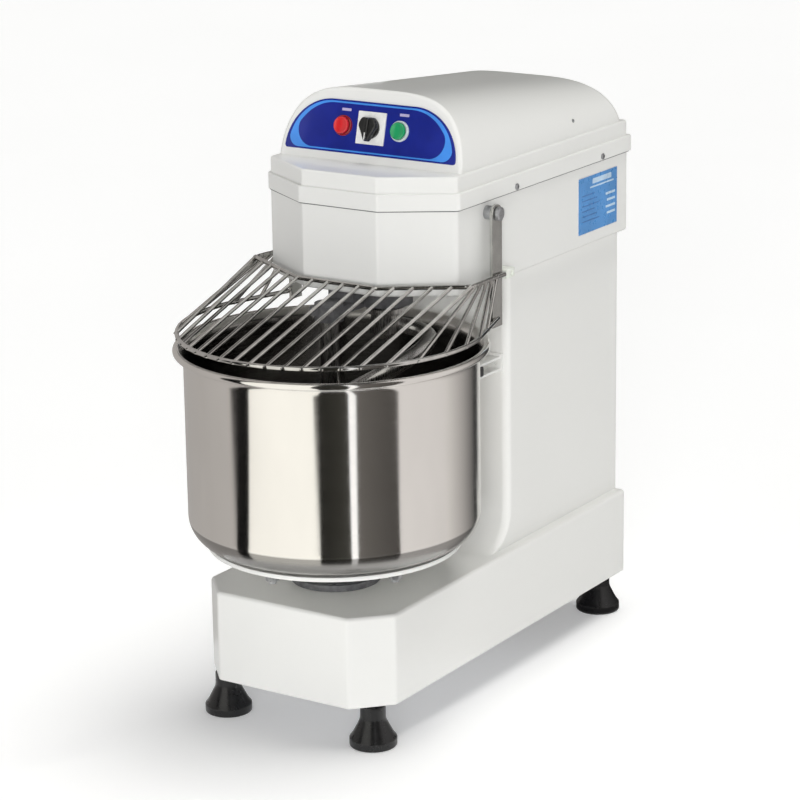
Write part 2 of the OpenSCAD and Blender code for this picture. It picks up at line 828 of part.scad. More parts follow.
module shaft_bearings() {
    color("silver") {
        for (z = [156, 206]) translate([0, -bowl_y, z]) bearing(bowl_shaft_r, 31, 16);
        for (z = [570, 626]) translate([hook_x, -hook_y, z]) bearing(hook_shaft_r, 34, 16);
    }
}

module bearing_block(bore) {
    difference() {
        union() {
            translate([-32, -32, 0]) cube([64, 64, 6]);
            cylinder(r = 26, h = 15);
        }
        translate([0, 0, -1]) cylinder(r = bore + run, h = 20);
        for (x = [-25, 25], y = [-25, 25]) translate([x, y, -1]) cylinder(r = 3.5, h = 10);
    }
}

module bearing_blocks() {
    floor_z = base_z + 5;
    color("dimgray") {
        translate([0, counter_y, floor_z]) bearing_block(counter_r);
        translate([0, counter_y, plate_z + plate_t]) bearing_block(counter_r);
        translate([0, transfer_y, floor_z]) bearing_block(transfer_r);
        translate([0, transfer_y, base_top - sheet]) mirror([0, 0, 1]) bearing_block(transfer_r);
        translate([0, -bowl_y, floor_z]) bearing_block(bowl_shaft_r);
    }
}

module countershaft() {
    color("silver") translate([0, counter_y, 67]) cylinder(r = counter_r, h = 640);
}

module countershaft_pulley() {
    color("dimgray") translate([0, counter_y, pulley_z]) pulley(counter_pulley_r, counter_r);
}

module countershaft_sprockets() {
    color("dimgray") translate([0, counter_y, 0]) {
        translate([0, 0, low_chain_z]) rotate([0, 0, 4]) sprocket(small_teeth, counter_r, 17.2, 6);
        translate([0, 0, high_chain_z]) sprocket(counter_teeth, counter_r, 22, 6);
    }
}

module transfer_shaft() {
    color("silver") translate([0, transfer_y, 67]) cylinder(r = transfer_r, h = 114);
}

module transfer_sprockets() {
    color("dimgray") translate([0, transfer_y, 0]) {
        translate([0, 0, low_chain_z]) sprocket(transfer_teeth, transfer_r, 24, 6);
        translate([0, 0, mid_chain_z]) sprocket(small_teeth, transfer_r, 17, 6);
    }
}

module motor_body() {
    bottom = mount_z - 220;
    color("steelblue") translate([0, motor_y, 0]) difference() {
        union() {
            translate([0, 0, bottom]) cylinder(r = 64, h = 220);
            for (a = [0 : 15 : 345]) rotate([0, 0, a]) translate([60, -1.5, bottom + 15])
                cube([13, 3, 175]);
            translate([0, 0, mount_z - 12]) cylinder(r = 72, h = 12);
            translate([-35, -95, bottom + 70]) cube([70, 40, 80]);
        }
        translate([0, 0, bottom - 1]) cylinder(r = motor_shaft_r + run, h = 240);
    }
}

module fan_cover() {
    top = mount_z - 220;
    color("steelblue") translate([0, motor_y, 0]) difference() {
        translate([0, 0, top - 42]) cylinder(r = 70, h = 42 - eps);
        translate([0, 0, top - 39]) cylinder(r = 67, h = 42);
        for (a = [0 : 30 : 330], r = [30, 50]) rotate([0, 0, a])
            translate([r, 0, top - 45]) cylinder(r = 4, h = 10);
    }
}

module motor_fan() {
    color("black") translate([0, motor_y, mount_z - 220 - 32]) difference() {
        union() {
            cylinder(r = 22, h = 22);
            for (a = [0 : 45 : 315]) rotate([0, 0, a]) translate([15, -1.5, 2]) cube([45, 3, 18]);
            cylinder(r = 60, h = 2.5);
        }
        translate([0, 0, -1]) cylinder(r = motor_shaft_r + fit, h = 30);
    }
}

module motor_mount() {
    w = column_half - sheet;
    color("silver") difference() {
        union() {
            translate([-w, 200, mount_z]) cube([2 * w, 165, 8]);
            for (x = [-w, w - 8]) translate([x, 200, mount_z - 60]) cube([8, 165, 60 + eps]);
        }
        translate([0, motor_y, mount_z - 5]) cylinder(r = 22, h = 20);
    }
}

module motor_shaft() {
    color("silver") translate([0, motor_y, mount_z - 254]) cylinder(r = motor_shaft_r, h = 390);
}

module motor_pulley() {
    color("dimgray") translate([0, motor_y, pulley_z]) pulley(motor_pulley_r, motor_shaft_r);
}

module drive_belts() {
    color("black") for (i = [0, 1]) translate([0, 0, pulley_z + 4 + i * belt_step])
        linear_extrude(10) difference() {
            loop_plan([0, counter_y], counter_pulley_r + 1.5, [0, motor_y], motor_pulley_r + 1.5);
            loop_plan([0, counter_y], counter_pulley_r - 6, [0, motor_y], motor_pulley_r - 6);
        }
}

module hook_chain() {
    color("dimgray") chain_loop([hook_x, -hook_y], hook_teeth, [0, counter_y], counter_teeth,
        high_chain_z);
}

module transfer_chain() {
    color("dimgray") chain_loop([0, transfer_y], transfer_teeth, [0, counter_y], small_teeth,
        low_chain_z);
}

module bowl_chain() {
    color("dimgray") chain_loop([0, -bowl_y], bowl_teeth, [0, transfer_y], small_teeth,
        mid_chain_z);
}

module electrical_box() {
    color("lightgray") translate([-132, 95, 380]) difference() {
        cube([48, 95, 130]);
        translate([3, 3, 3]) cube([43, 89, 124]);
    }
}

module cable_gland() {
    color("black") translate([-90, rear_y, 215]) rotate([-90, 0, 0]) difference() {
        union() {
            translate([0, 0, -8]) cylinder(r = 10, h = 12);
            cylinder(r = 14, h = 3, $fn = 6);
            translate([0, 0, 3 - eps]) cylinder(r = 11, h = 2.8);
            translate([0, 0, -8]) cylinder(r = 13, h = 4);
        }
        translate([0, 0, 6]) cylinder(r = 5, h = 10);
    }
}

// ---- bowl guide rollers ----

module roller_brackets() {
    color("whitesmoke") for (s = [-1, 1]) difference() {
        union() {
            translate([s * roller_x - 11, column_front - 4, roller_z - 8])
                cube([22, 4, roller_h + 16]);
            for (z = [roller_z - 4, roller_z + roller_h + 1]) {
                translate([s * roller_x - 8, roller_y, z])
                    cube([16, column_front - roller_y - 1, 3]);
                translate([s * roller_x, roller_y, z]) cylinder(r = 8, h = 3);
            }
            translate([s * roller_x, roller_y, roller_z - 6]) cylinder(r = 4, h = roller_h + 12);
        }
        translate([s * roller_x, column_front - 10, roller_z + roller_h / 2])
            rotate([-90, 0, 0]) cylinder(r = 3.2, h = 15);
    }
}

module guide_roller(s) {
    color("dimgray") translate([s * roller_x, roller_y, roller_z]) difference() {
        cylinder(r = roller_r, h = roller_h);
        translate([0, 0, -1]) cylinder(r = 4 + run, h = roller_h + 2);
    }
}

module guide_roller_left() { guide_roller(-1); }
module guide_roller_right() { guide_roller(1); }

base_shell();
base_floor();
feet();
foot_studs();
column_shell();
rear_panel();
case_screws();
head_shell();
head_plate();
lid();
control_panel();
button_bezels();
switch_plate();
switch_blocks();
rating_plate();
interlock_housing();
guard_pivot_pins();
breaker_bar();
breaker_bracket();
hook_bearing_housing();
shaft_bearings();
bearing_blocks();
bowl_bearing_housing();
motor_body();
motor_mount();
fan_cover();
electrical_box();
cable_gland();
roller_brackets();
drive_belts();
hook_chain();
transfer_chain();
bowl_chain();
bowl();
turntable();
turntable_bolts();
bowl_shaft();
bowl_sprocket();
spiral_hook();
hook_shaft();
hook_sprocket();
countershaft();
countershaft_pulley();
countershaft_sprockets();
transfer_shaft();
transfer_sprockets();
motor_shaft();
motor_pulley();
motor_fan();
guard_ring();
guard_crown();
guard_wires();
guard_arms();
stop_button();
start_button();
selector_knob();
interlock_plunger();
guide_roller_left();
guide_roller_right();
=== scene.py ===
"""Spiral dough mixer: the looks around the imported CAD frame. Metres, +Z up, front facing -Y."""

import json
import math
import random

import bmesh
import bpy
from mathutils import Matrix, Vector


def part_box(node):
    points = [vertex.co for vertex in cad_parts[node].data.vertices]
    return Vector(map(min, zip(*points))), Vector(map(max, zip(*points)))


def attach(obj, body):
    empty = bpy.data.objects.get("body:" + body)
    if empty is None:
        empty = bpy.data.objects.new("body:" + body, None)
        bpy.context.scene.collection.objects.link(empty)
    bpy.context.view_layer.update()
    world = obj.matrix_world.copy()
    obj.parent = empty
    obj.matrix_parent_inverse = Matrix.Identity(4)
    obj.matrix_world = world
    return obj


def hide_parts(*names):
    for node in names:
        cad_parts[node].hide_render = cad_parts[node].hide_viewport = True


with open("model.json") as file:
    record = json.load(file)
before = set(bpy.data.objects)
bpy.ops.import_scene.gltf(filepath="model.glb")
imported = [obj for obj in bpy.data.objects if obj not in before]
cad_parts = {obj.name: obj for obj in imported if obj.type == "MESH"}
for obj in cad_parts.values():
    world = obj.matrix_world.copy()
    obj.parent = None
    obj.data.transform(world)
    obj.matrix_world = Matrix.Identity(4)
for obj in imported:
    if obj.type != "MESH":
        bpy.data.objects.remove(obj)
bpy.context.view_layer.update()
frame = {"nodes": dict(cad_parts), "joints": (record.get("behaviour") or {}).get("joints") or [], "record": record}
nodes = frame["nodes"]
slot_of_node = {s["node"]: s["material_slot"] for s in frame["record"]["subparts"]}
random.seed(7)

MM = 0.001


# ---- places taken from the frame ----

def box(node):
    """Lowest and highest corner of a CAD node."""
    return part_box(node)


def axis_of(joint):
    """A point on a joint's axis."""
    return next(Vector(j["pos_m"]) for j in frame["joints"] if j["name"] == joint)


base_lo, base_hi = box("base_shell")
column_lo, column_hi = box("column_shell")
head_lo, head_hi = box("head_shell")
lid_lo, _ = box("lid")
bowl_lo, bowl_hi = box("bowl")
bowl_axis = axis_of("bowl_spin")
hook_axis = axis_of("hook_spin")

SHEET = 3 * MM
OPENING_DEPTH = 10 * MM  # half the height of a tool that cuts an opening in a casing
BOWL_R = 200
# The dome, the ledge it stands on and the buttons follow the driving values of the CAD
DOME_LEAN = math.radians(14.3)
TAIL_LEAN = math.radians(25.5)
LEDGE_Z = 748.8 * MM
DOME_FRONT_Y = -76 * MM
DOME_REAR_Y = 373 * MM
DOME_HALF = 146.5 * MM
DOME_RISE = 101 * MM
DOME_TAIL = 68 * MM
BUTTON_H = 48 * MM
BUTTON_X = 45.5 * MM


# ---- materials ----

class Shader:
    """A principled material with a few helpers for its procedural detail."""

    def __init__(self, name, color, roughness, metallic=0.0, **sockets):
        self.mat = bpy.data.materials.new(name)
        self.mat.use_nodes = True
        self.nodes = self.mat.node_tree.nodes
        self.links = self.mat.node_tree.links
        self.shader = self.nodes["Principled BSDF"]
        self.set("Base Color", (*color, 1))
        self.set("Roughness", roughness)
        self.set("Metallic", metallic)
        for socket, value in sockets.items():
            self.set(socket.replace("_", " "), value)
        self.coords = self.nodes.new("ShaderNodeTexCoord").outputs["Object"]

    def set(self, socket, value):
        """Sets a shader socket that has no link."""
        self.shader.inputs[socket].default_value = value

    def stretched(self, scale):
        """Object coordinates scaled along each axis."""
        m = self.nodes.new("ShaderNodeMapping")
        m.inputs["Scale"].default_value = scale
        self.links.new(self.coords, m.inputs["Vector"])
        return m.outputs["Vector"]

    def noise(self, scale, detail=3.0, stretch=None, rough=0.5):
        """Noise pattern, stretched along the axes if asked."""
        n = self.nodes.new("ShaderNodeTexNoise")
        n.inputs["Scale"].default_value = scale
        n.inputs["Detail"].default_value = detail
        n.inputs["Roughness"].default_value = rough
        self.links.new(self.stretched(stretch) if stretch else self.coords, n.inputs["Vector"])
        return n.outputs["Fac"]

    def vector(self, operation, source, *value):
        """Vector math on a socket, with a constant second input if one is given."""
        v = self.nodes.new("ShaderNodeVectorMath")
        v.operation = operation
        self.links.new(source, v.inputs[0])
        if value:
            v.inputs[1].default_value = value
        return v

    def paint_shade_within(self, axis, radius, level):
        """Painted shade: darker base colour on surfaces nearer a vertical axis than the radius."""
        blur = 0.2 * MM
        offset = self.vector("SUBTRACT", self.coords, axis.x, axis.y, 0)
        flat = self.vector("MULTIPLY", offset.outputs[0], 1, 1, 0)
        reach = self.vector("LENGTH", flat.outputs[0])
        inner = self.nodes.new("ShaderNodeMapRange")
        inner.inputs["From Min"].default_value = radius - blur
        inner.inputs["From Max"].default_value = radius + blur
        inner.inputs["To Min"].default_value = level
        self.links.new(reach.outputs["Value"], inner.inputs["Value"])
        color = self.shader.inputs["Base Color"]
        mix = self.vector("SCALE", color.links[0].from_socket)
        self.links.new(inner.outputs["Result"], mix.inputs["Scale"])
        self.links.new(mix.outputs[0], color)

    def tint(self, fac, low, high, lo=0.35, hi=0.65):
        """Colour that wanders between two shades."""
        ramp = self.nodes.new("ShaderNodeValToRGB")
        for e, place, color in zip(ramp.color_ramp.elements, (lo, hi), (low, high)):
            e.position = place
            e.color = (*color, 1)
        self.links.new(fac, ramp.inputs["Fac"])
        self.links.new(ramp.outputs["Color"], self.shader.inputs["Base Color"])

    def vary_roughness(self, fac, low, high, lo=0.3, hi=0.7):
        """Roughness that wanders between two values."""
        m = self.nodes.new("ShaderNodeMapRange")
        m.inputs["From Min"].default_value = lo
        m.inputs["From Max"].default_value = hi
        m.inputs["To Min"].default_value = low
        m.inputs["To Max"].default_value = high
        self.links.new(fac, m.inputs["Value"])
        self.links.new(m.outputs["Result"], self.shader.inputs["Roughness"])

    def bump(self, fac, strength, distance):
        """Relief from a pattern."""
        b = self.nodes.new("ShaderNodeBump")
        b.inputs["Strength"].default_value = strength
        b.inputs["Distance"].default_value = distance
        self.links.new(fac, b.inputs["Height"])
        self.links.new(b.outputs["Normal"], self.shader.inputs["Normal"])


def shade(color, factor):
    """A colour made lighter or darker."""
    return tuple(min(c * factor, 1.0) for c in color)


def painted(name, color, roughness=0.3, coat=0.35):
    """Powder coat: slight orange peel and a faint unevenness of tone."""
    s = Shader(name, color, roughness, Coat_Weight=coat, Coat_Roughness=0.12)
    s.tint(s.noise(5, 2), shade(color, 0.98), shade(color, 1.0), 0.0, 1.0)
    s.vary_roughness(s.noise(14, 2), roughness - 0.04, roughness + 0.06, 0.0, 1.0)
    s.bump(s.noise(420, 2), 0.05, 0.0002)
    return s.mat


def turned_steel(name, color, roughness, lines=1500, strength=0.05, anisotropic=0.35,
                 inside=False):
    """Stainless turned or polished round a vertical axis: fine lines that run round it."""
    s = Shader(name, color, roughness, 1.0, Anisotropic=anisotropic, Anisotropic_Rotation=0.25)
    around = s.nodes.new("ShaderNodeTangent")
    around.direction_type = "RADIAL"
    around.axis = "Z"
    s.links.new(around.outputs[0], s.shader.inputs["Tangent"])
    grain = s.noise(1, 3, stretch=(2.5, 2.5, lines), rough=0.65)
    cloud = s.noise(9, 4, stretch=(1, 1, 0.35))
    s.tint(cloud, shade(color, 0.95), shade(color, 1.03))
    # Painted shade: the bowl's inner wall gets a darker base colour than its outside.
    if inside:
        s.paint_shade_within(bowl_axis, (BOWL_R - 0.6) * MM, 0.42)
    s.vary_roughness(grain, roughness * 0.75, roughness * 1.35)
    s.bump(grain, strength, 0.0001)
    return s.mat


def drawn_steel(name, color, roughness, stretch=(220, 220, 8)):
    """Drawn or ground steel: lines along its length, small marks and soft patches."""
    s = Shader(name, color, roughness, 1.0)
    grain = s.noise(6, 4, stretch=stretch, rough=0.6)
    s.tint(s.noise(30, 5), shade(color, 0.86), shade(color, 1.05))
    s.vary_roughness(grain, roughness * 0.7, roughness * 1.5)
    s.bump(grain, 0.12, 0.0001)
    return s.mat


def bright_wire(name, color, roughness=0.14):
    """Polished wire with faint draw marks and handling haze."""
    s = Shader(name, color, roughness, 1.0)
    haze = s.noise(60, 4)
    s.tint(haze, shade(color, 0.85), shade(color, 1.05))
    s.vary_roughness(haze, roughness * 0.6, roughness * 1.8)
    s.bump(s.noise(900, 2), 0.05, 0.0001)
    return s.mat


def moulded(name, color, roughness, grain=900, strength=0.08, coat=0.0):
    """Moulded plastic: fine grain, slight gloss change and soft tone."""
    s = Shader(name, color, roughness, Coat_Weight=coat, Coat_Roughness=0.08)
    s.tint(s.noise(45, 4), shade(color, 0.88), shade(color, 1.08))
    s.vary_roughness(s.noise(120, 3), roughness * 0.8, roughness * 1.25)
    s.bump(s.noise(grain, 2), strength, 0.0002)
    return s.mat


def cast(name, color, roughness=0.6):
    """Cast iron under grey primer: pebbled skin with worn, lighter patches."""
    s = Shader(name, color, roughness, 0.25)
    s.tint(s.noise(50, 6, rough=0.7), shade(color, 0.7), shade(color, 1.5))
    s.vary_roughness(s.noise(80, 4), roughness * 0.75, roughness * 1.2)
    s.bump(s.noise(260, 4), 0.35, 0.0004)
    return s.mat


def oiled_chain(name, color):
    """Dark oiled steel with brighter rubbed links along the chain."""
    s = Shader(name, color, 0.35, 0.9)
    s.tint(s.noise(160, 4), shade(color, 0.5), shade(color, 1.9))
    s.vary_roughness(s.noise(300, 3), 0.22, 0.5)
    s.bump(s.noise(500, 3), 0.3, 0.0003)
    return s.mat


def belt(name, color):
    """Wrapped rubber belt: fabric weave and dusty flanks."""
    s = Shader(name, color, 0.75)
    wave = s.nodes.new("ShaderNodeTexWave")
    wave.bands_direction = "DIAGONAL"
    wave.inputs["Scale"].default_value = 420
    wave.inputs["Distortion"].default_value = 1.5
    s.links.new(s.coords, wave.inputs["Vector"])
    s.tint(s.noise(40, 5), shade(color, 0.7), shade(color, 2.2))
    s.bump(wave.outputs["Fac"], 0.4, 0.0003)
    return s.mat


def printed(name, color, roughness=0.16):
    """Printed overlay film under gloss, with a faint screen mottling."""
    s = Shader(name, color, roughness, Coat_Weight=0.6, Coat_Roughness=0.05)
    s.tint(s.noise(24, 4), shade(color, 0.90), shade(color, 1.10))
    s.vary_roughness(s.noise(150, 2), roughness * 0.8, roughness * 1.3)
    s.bump(s.noise(700, 2), 0.04, 0.0001)
    return s.mat


MATS = {
    "paint_white": painted("paint_white", (0.80, 0.80, 0.775)),
    # The bowl's inner wall carries painted shade: a darker base colour inside its radius.
    "stainless_bowl": turned_steel("stainless_bowl", (0.80, 0.78, 0.75), 0.15, 700, 0.05, 1.0,
                                   inside=True),
    "bright_wire": bright_wire("bright_wire", (0.62, 0.61, 0.59), 0.10),
    "stainless_bar": drawn_steel("stainless_bar", (0.58, 0.58, 0.56), 0.17),
    "hook_steel": drawn_steel("hook_steel", (0.55, 0.54, 0.53), 0.24),
    "foot_black": moulded("foot_black", (0.005, 0.005, 0.0055), 0.3, coat=0.06),
    "panel_blue": printed("panel_blue", (0.012, 0.022, 0.24)),
    "bezel_light": moulded("bezel_light", (0.60, 0.66, 0.68), 0.25),
    "plate_white": printed("plate_white", (0.82, 0.82, 0.80), 0.25),
    "button_red": moulded("button_red", (0.62, 0.018, 0.022), 0.22, coat=0.4),
    "button_green": moulded("button_green", (0.012, 0.30, 0.105), 0.22, coat=0.4),
    "knob_black": moulded("knob_black", (0.012, 0.012, 0.012), 0.28, coat=0.2),
    "label_blue": printed("label_blue", (0.075, 0.27, 0.60), 0.3),
    "plastic_white": moulded("plastic_white", (0.74, 0.76, 0.70), 0.4),
    "plastic_dark": moulded("plastic_dark", (0.03, 0.03, 0.032), 0.42),
    "zinc_steel": drawn_steel("zinc_steel", (0.52, 0.53, 0.55), 0.32, (60, 60, 60)),
    "machined_steel": turned_steel("machined_steel", (0.50, 0.50, 0.50), 0.25, 2500, 0.12, 0.0),
    "cast_grey": cast("cast_grey", (0.13, 0.13, 0.135)),
    "chain_steel": oiled_chain("chain_steel", (0.10, 0.095, 0.09)),
    "belt_rubber": belt("belt_rubber", (0.012, 0.012, 0.012)),
    "motor_paint": painted("motor_paint", (0.045, 0.10, 0.155), 0.42, 0.1),
}
light_blue = printed("panel_light_blue", (0.06, 0.27, 0.78))
# Grey of the thin strip that paints the shadow line under the lid's lip.
shadow_strip_grey = moulded("shadow_strip_grey", (0.13, 0.13, 0.13), 0.6)
red_ring = moulded("red_ring", (0.28, 0.012, 0.016), 0.15, coat=0.5)
pale_ink = printed("pale_ink", (0.50, 0.45, 0.68), 0.3)
label_ink = printed("label_ink", (0.50, 0.66, 0.82), 0.3)
dark_ink = printed("dark_ink", (0.045, 0.16, 0.42), 0.3)
pale_border = printed("pale_border", (0.74, 0.72, 0.72), 0.3)


# ---- mesh helpers ----

def piece(name, verts, faces, body, slot, replaces=None, material=None, smooth=30):
    """Makes a closed mesh object that rides on a body and stands for CAD nodes."""
    mesh = bpy.data.meshes.new(name)
    mesh.from_pydata([tuple(v) for v in verts], [], faces)
    return finish_piece(name, mesh, body, slot, replaces, material, smooth)


def face_outward(mesh):
    """Turns every face of a closed mesh outward."""
    bm = bmesh.new()
    bm.from_mesh(mesh)
    bmesh.ops.recalc_face_normals(bm, faces=bm.faces)
    bm.to_mesh(mesh)
    bm.free()


def finish_piece(name, mesh, body, slot, replaces=None, material=None, smooth=30):
    """Gives a mesh its object, the material of its slot, shading and body, and hides the CAD nodes it stands for.
    """
    face_outward(mesh)
    obj = bpy.data.objects.new(name, mesh)
    bpy.context.scene.collection.objects.link(obj)
    obj.data.materials.append(material or MATS[slot])
    smooth_by_angle(obj, smooth)
    even = obj.modifiers.new("even_normals", "WEIGHTED_NORMAL")
    even.keep_sharp = True
    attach(obj, body)
    if replaces:
        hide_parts(*([replaces] if isinstance(replaces, str) else replaces))
    return obj


def smooth_by_angle(obj, degrees):
    """Smooth shading with sharp edges marked above an angle."""
    mesh = obj.data
    mesh.polygons.foreach_set("use_smooth", [True] * len(mesh.polygons))
    bm = bmesh.new()
    bm.from_mesh(mesh)
    limit = math.radians(degrees)
    for e in bm.edges:
        e.smooth = not (len(e.link_faces) == 2 and e.calc_face_angle(0) > limit)
    bm.to_mesh(mesh)
    bm.free()


def rings_faces(count, size):
    """Faces that join rings of equal size, with both ends capped."""
    faces = []
    for a in range(0, (count - 1) * size, size):
        b = a + size
        for i in range(size):
            k = (i + 1) % size
            faces.append((a + i, a + k, b + k, b + i))
    faces.append(tuple(range(size - 1, -1, -1)))
    faces.append(tuple((count - 1) * size + i for i in range(size)))
    return faces


def lathe(name, profile, center, body, slot, replaces=None, segments=96, smooth=35, material=None):
    """Turns a closed (radius, height) outline that starts and ends on the axis, in millimetres."""
    verts = [Vector((center[0], center[1], profile[0][1] * MM))]
    inner = profile[1:-1]
    for r, z in inner:
        for i in range(segments):
            a = 2 * math.pi * i / segments
            verts.append(Vector((center[0] + r * MM * math.cos(a),
                                 center[1] + r * MM * math.sin(a), z * MM)))
    verts.append(Vector((center[0], center[1], profile[-1][1] * MM)))
    faces = []
    for i in range(segments):
        k = (i + 1) % segments
        faces.append((0, 1 + k, 1 + i))
        for j in range(len(inner) - 1):
            a, b = 1 + j * segments, 1 + (j + 1) * segments
            faces.append((a + i, a + k, b + k, b + i))
        top = 1 + (len(inner) - 1) * segments
        faces.append((top + i, top + k, len(verts) - 1))
    return piece(name, verts, faces, body, slot, replaces, material, smooth)


def arc(cx, cy, r, a0, a1, n):
    """Points of an arc, angles in degrees."""
    return [(cx + r * math.cos(math.radians(a0 + (a1 - a0) * i / n)),
             cy + r * math.sin(math.radians(a0 + (a1 - a0) * i / n))) for i in range(n + 1)]


def tube(path, radius, sides=14):
    """Vertices and faces of a capped tube along a list of points, in metres."""
    verts = []
    tangents = []
    for i in range(len(path)):
        a = path[max(i - 1, 0)]
        b = path[min(i + 1, len(path) - 1)]
        tangents.append((b - a).normalized())
    up = Vector((0, 0, 1)) if abs(tangents[0].z) < 0.9 else Vector((1, 0, 0))
    side = tangents[0].cross(up).normalized()
    for p, t in zip(path, tangents):
        side = (side - t * side.dot(t)).normalized()
        other = t.cross(side)
        for k in range(sides):
            a = 2 * math.pi * k / sides
            verts.append(p + radius * (math.cos(a) * side + math.sin(a) * other))
    return verts, rings_faces(len(path), sides)


def joined(parts):
    """One vertex and face list from several."""
    verts, faces = [], []
    for v, f in parts:
        start = len(verts)
        verts += v
        faces += [tuple(start + i for i in face) for face in f]
    return verts, faces


def rounded_outline(corners, radii, inset=0.0, steps=8):
    """Points of a convex outline (counter-clockwise) with round corners, moved in by inset."""
    pts = []
    n = len(corners)
    for i in range(n):
        p = Vector(corners[i])
        a = (Vector(corners[i - 1]) - p).normalized()
        b = (Vector(corners[(i + 1) % n]) - p).normalized()
        half = a.angle(b) / 2
        r = radii[i]
        center = p + (a + b).normalized() * (r / math.sin(half))
        start = math.atan2(-a.y, -a.x) - math.pi / 2
        turn = math.pi - 2 * half
        for k in range(steps + 1):
            t = start + turn * k / steps
            rr = max(r - inset, 0.02)
            q = center + rr * Vector((math.cos(t), math.sin(t)))
            if r < inset:
                q = center + (r - inset) * Vector((math.cos(start + turn / 2),
                                                   math.sin(start + turn / 2))) / math.cos(turn / 2)
            pts.append(q)
    return pts


def loft(layers):
    """Vertices and faces of a capped stack of rings."""
    verts = [Vector(p) for ring in layers for p in ring]
    return verts, rings_faces(len(layers), len(layers[0]))


def slab(outline_at, z0, z1, low, high, steps=5):
    """Upright solid with round lower and upper edges, in millimetres."""
    turns = [math.pi / 2 * k / steps for k in range(steps + 1)]
    rings = [(low * (1 - math.sin(a)), z0 + low * (1 - math.cos(a))) for a in turns]
    rings += [(high * (1 - math.cos(a)), z1 - high * (1 - math.sin(a))) for a in turns]
    return loft([[(p.x * MM, p.y * MM, z * MM) for p in outline_at(inset)]
                 for inset, z in rings])


def cut_plan(half, front, rear, cx, cy):
    """Plan with two cut front corners, counter-clockwise, in millimetres."""
    return [(-half + cx, front), (half - cx, front), (half, front + cy), (half, rear),
            (-half, rear), (-half, front + cy)]


def mesh_of(verts, faces):
    """A mesh, not yet an object, for the boolean steps."""
    mesh = bpy.data.meshes.new("part")
    mesh.from_pydata([tuple(v) for v in verts], [], faces)
    face_outward(mesh)
    return mesh


def boolean(solid, others, operation="DIFFERENCE"):
    """Cuts or joins meshes exactly and returns the result as a mesh."""
    base = bpy.data.objects.new("solid", solid)
    bpy.context.scene.collection.objects.link(base)
    tools = []
    for mesh in others:
        tool = bpy.data.objects.new("tool", mesh)
        bpy.context.scene.collection.objects.link(tool)
        tools.append(tool)
        mod = base.modifiers.new("cut", "BOOLEAN")
        mod.operation = operation
        mod.object = tool
        mod.solver = "EXACT"
    graph = bpy.context.evaluated_depsgraph_get()
    result = bpy.data.meshes.new_from_object(base.evaluated_get(graph))
    for o in [base, *tools]:
        bpy.data.objects.remove(o)
    return result


def cylinder_mesh(a, b, r):
    """Cylinder between two points, in metres."""
    return mesh_of(*tube([Vector(a), Vector(b)], r, 48))


def box_mesh(lo, hi):
    """Box between two corners, in metres."""
    x0, y0, z0 = lo
    x1, y1, z1 = hi
    verts = [(x, y, z) for z in (z0, z1) for x, y in ((x0, y0), (x1, y0), (x1, y1), (x0, y1))]
    return mesh_of(verts, rings_faces(2, 4))


def on_face(x, h, out=0.0):
    """Point on the dome's leaning front face: x across, h up the face, out from it, metres."""
    return Vector((x,
                   DOME_FRONT_Y + h * math.sin(DOME_LEAN) - out * math.cos(DOME_LEAN),
                   LEDGE_Z + h * math.cos(DOME_LEAN) + out * math.sin(DOME_LEAN)))


FACE = Matrix(((1, 0, 0, 0),
               (0, math.sin(DOME_LEAN), -math.cos(DOME_LEAN), DOME_FRONT_Y),
               (0, math.cos(DOME_LEAN), math.sin(DOME_LEAN), LEDGE_Z),
               (0, 0, 0, 1)))


def lay_on_face(obj):
    """Puts a piece made in the face's own X, Y and outward Z onto the face."""
    obj.data.transform(FACE)
    obj.data.update()
    return obj


# ---- casings ----

def round_opening(axis, z, r):
    """Tool that cuts a round opening around a vertical axis at a height, in metres."""
    return cylinder_mesh((axis.x, axis.y, z - OPENING_DEPTH), (axis.x, axis.y, z + OPENING_DEPTH), r)


def drive_opening(z, rear):
    """Tool that cuts the opening through which belts and chains pass, in metres."""
    half, front = 0.110, 0.075
    return box_mesh((-half, front, z - OPENING_DEPTH), (half, rear, z + OPENING_DEPTH))


def make_base():
    corners = cut_plan(base_hi.x / MM, base_lo.y / MM, base_hi.y / MM, 45, 48)
    z0, z1 = base_lo.z / MM, base_hi.z / MM

    def outline(inset):
        return rounded_outline(corners, [9, 9, 9, 6, 6, 9], inset)

    outer = mesh_of(*slab(outline, z0, z1, 1.2, 5))
    inner = mesh_of(*slab(lambda inset: outline(3 + inset), z0 - 4, z1 - 3, 0.5, 2))
    hole = round_opening(bowl_axis, z1 * MM, 42.4 * MM)
    mesh = boolean(outer, [inner, hole, drive_opening(z1 * MM, 0.355)])
    finish_piece("base_casing", mesh, "frame", "paint_white", "base_shell")


def column_ring(y, z):
    """Cross-section of the column whose front face is at y, in millimetres."""
    half, rear = column_hi.x / MM, column_hi.y / MM
    corners = [(-half, y), (half, y), (half, rear), (-half, rear)]
    return [(p.x * MM, p.y * MM, z * MM) for p in rounded_outline(corners, [11, 11, 4, 4])]


def make_column():
    """Column with a hollow sweep at its foot, open at the back."""
    z0, z1 = column_lo.z / MM, column_hi.z / MM
    front, sweep, steps = 62, 55, 18
    turns = [math.radians(90 * k / steps) for k in range(steps + 1)]
    rings = [(front - sweep * (1 - math.sin(a)), z0 + sweep * (1 - math.cos(a))) for a in turns]
    outer = mesh_of(*loft([column_ring(y, z) for y, z in [*rings, (front, z1)]]))
    hollow = box_mesh((-0.133, 0.066, z0 * MM - OPENING_DEPTH),
                      (0.133, column_hi.y + 0.01, z1 * MM + OPENING_DEPTH))
    mesh = boolean(outer, [hollow])
    finish_piece("column_casing", mesh, "frame", "paint_white", "column_shell")


def head_outline(inset=0.0, out=0.0):
    """Plan of the head, moved in by inset or made larger by out, in millimetres."""
    half, front, rear = head_hi.x / MM, head_lo.y / MM, head_hi.y / MM
    corners = cut_plan(half + out, front - out * 0.75, rear + out * 1.5,
                       half - 60 + out * 0.25, 55 + out * 0.75)
    return rounded_outline(corners, [10, 10, 10, 5, 5, 10], inset)


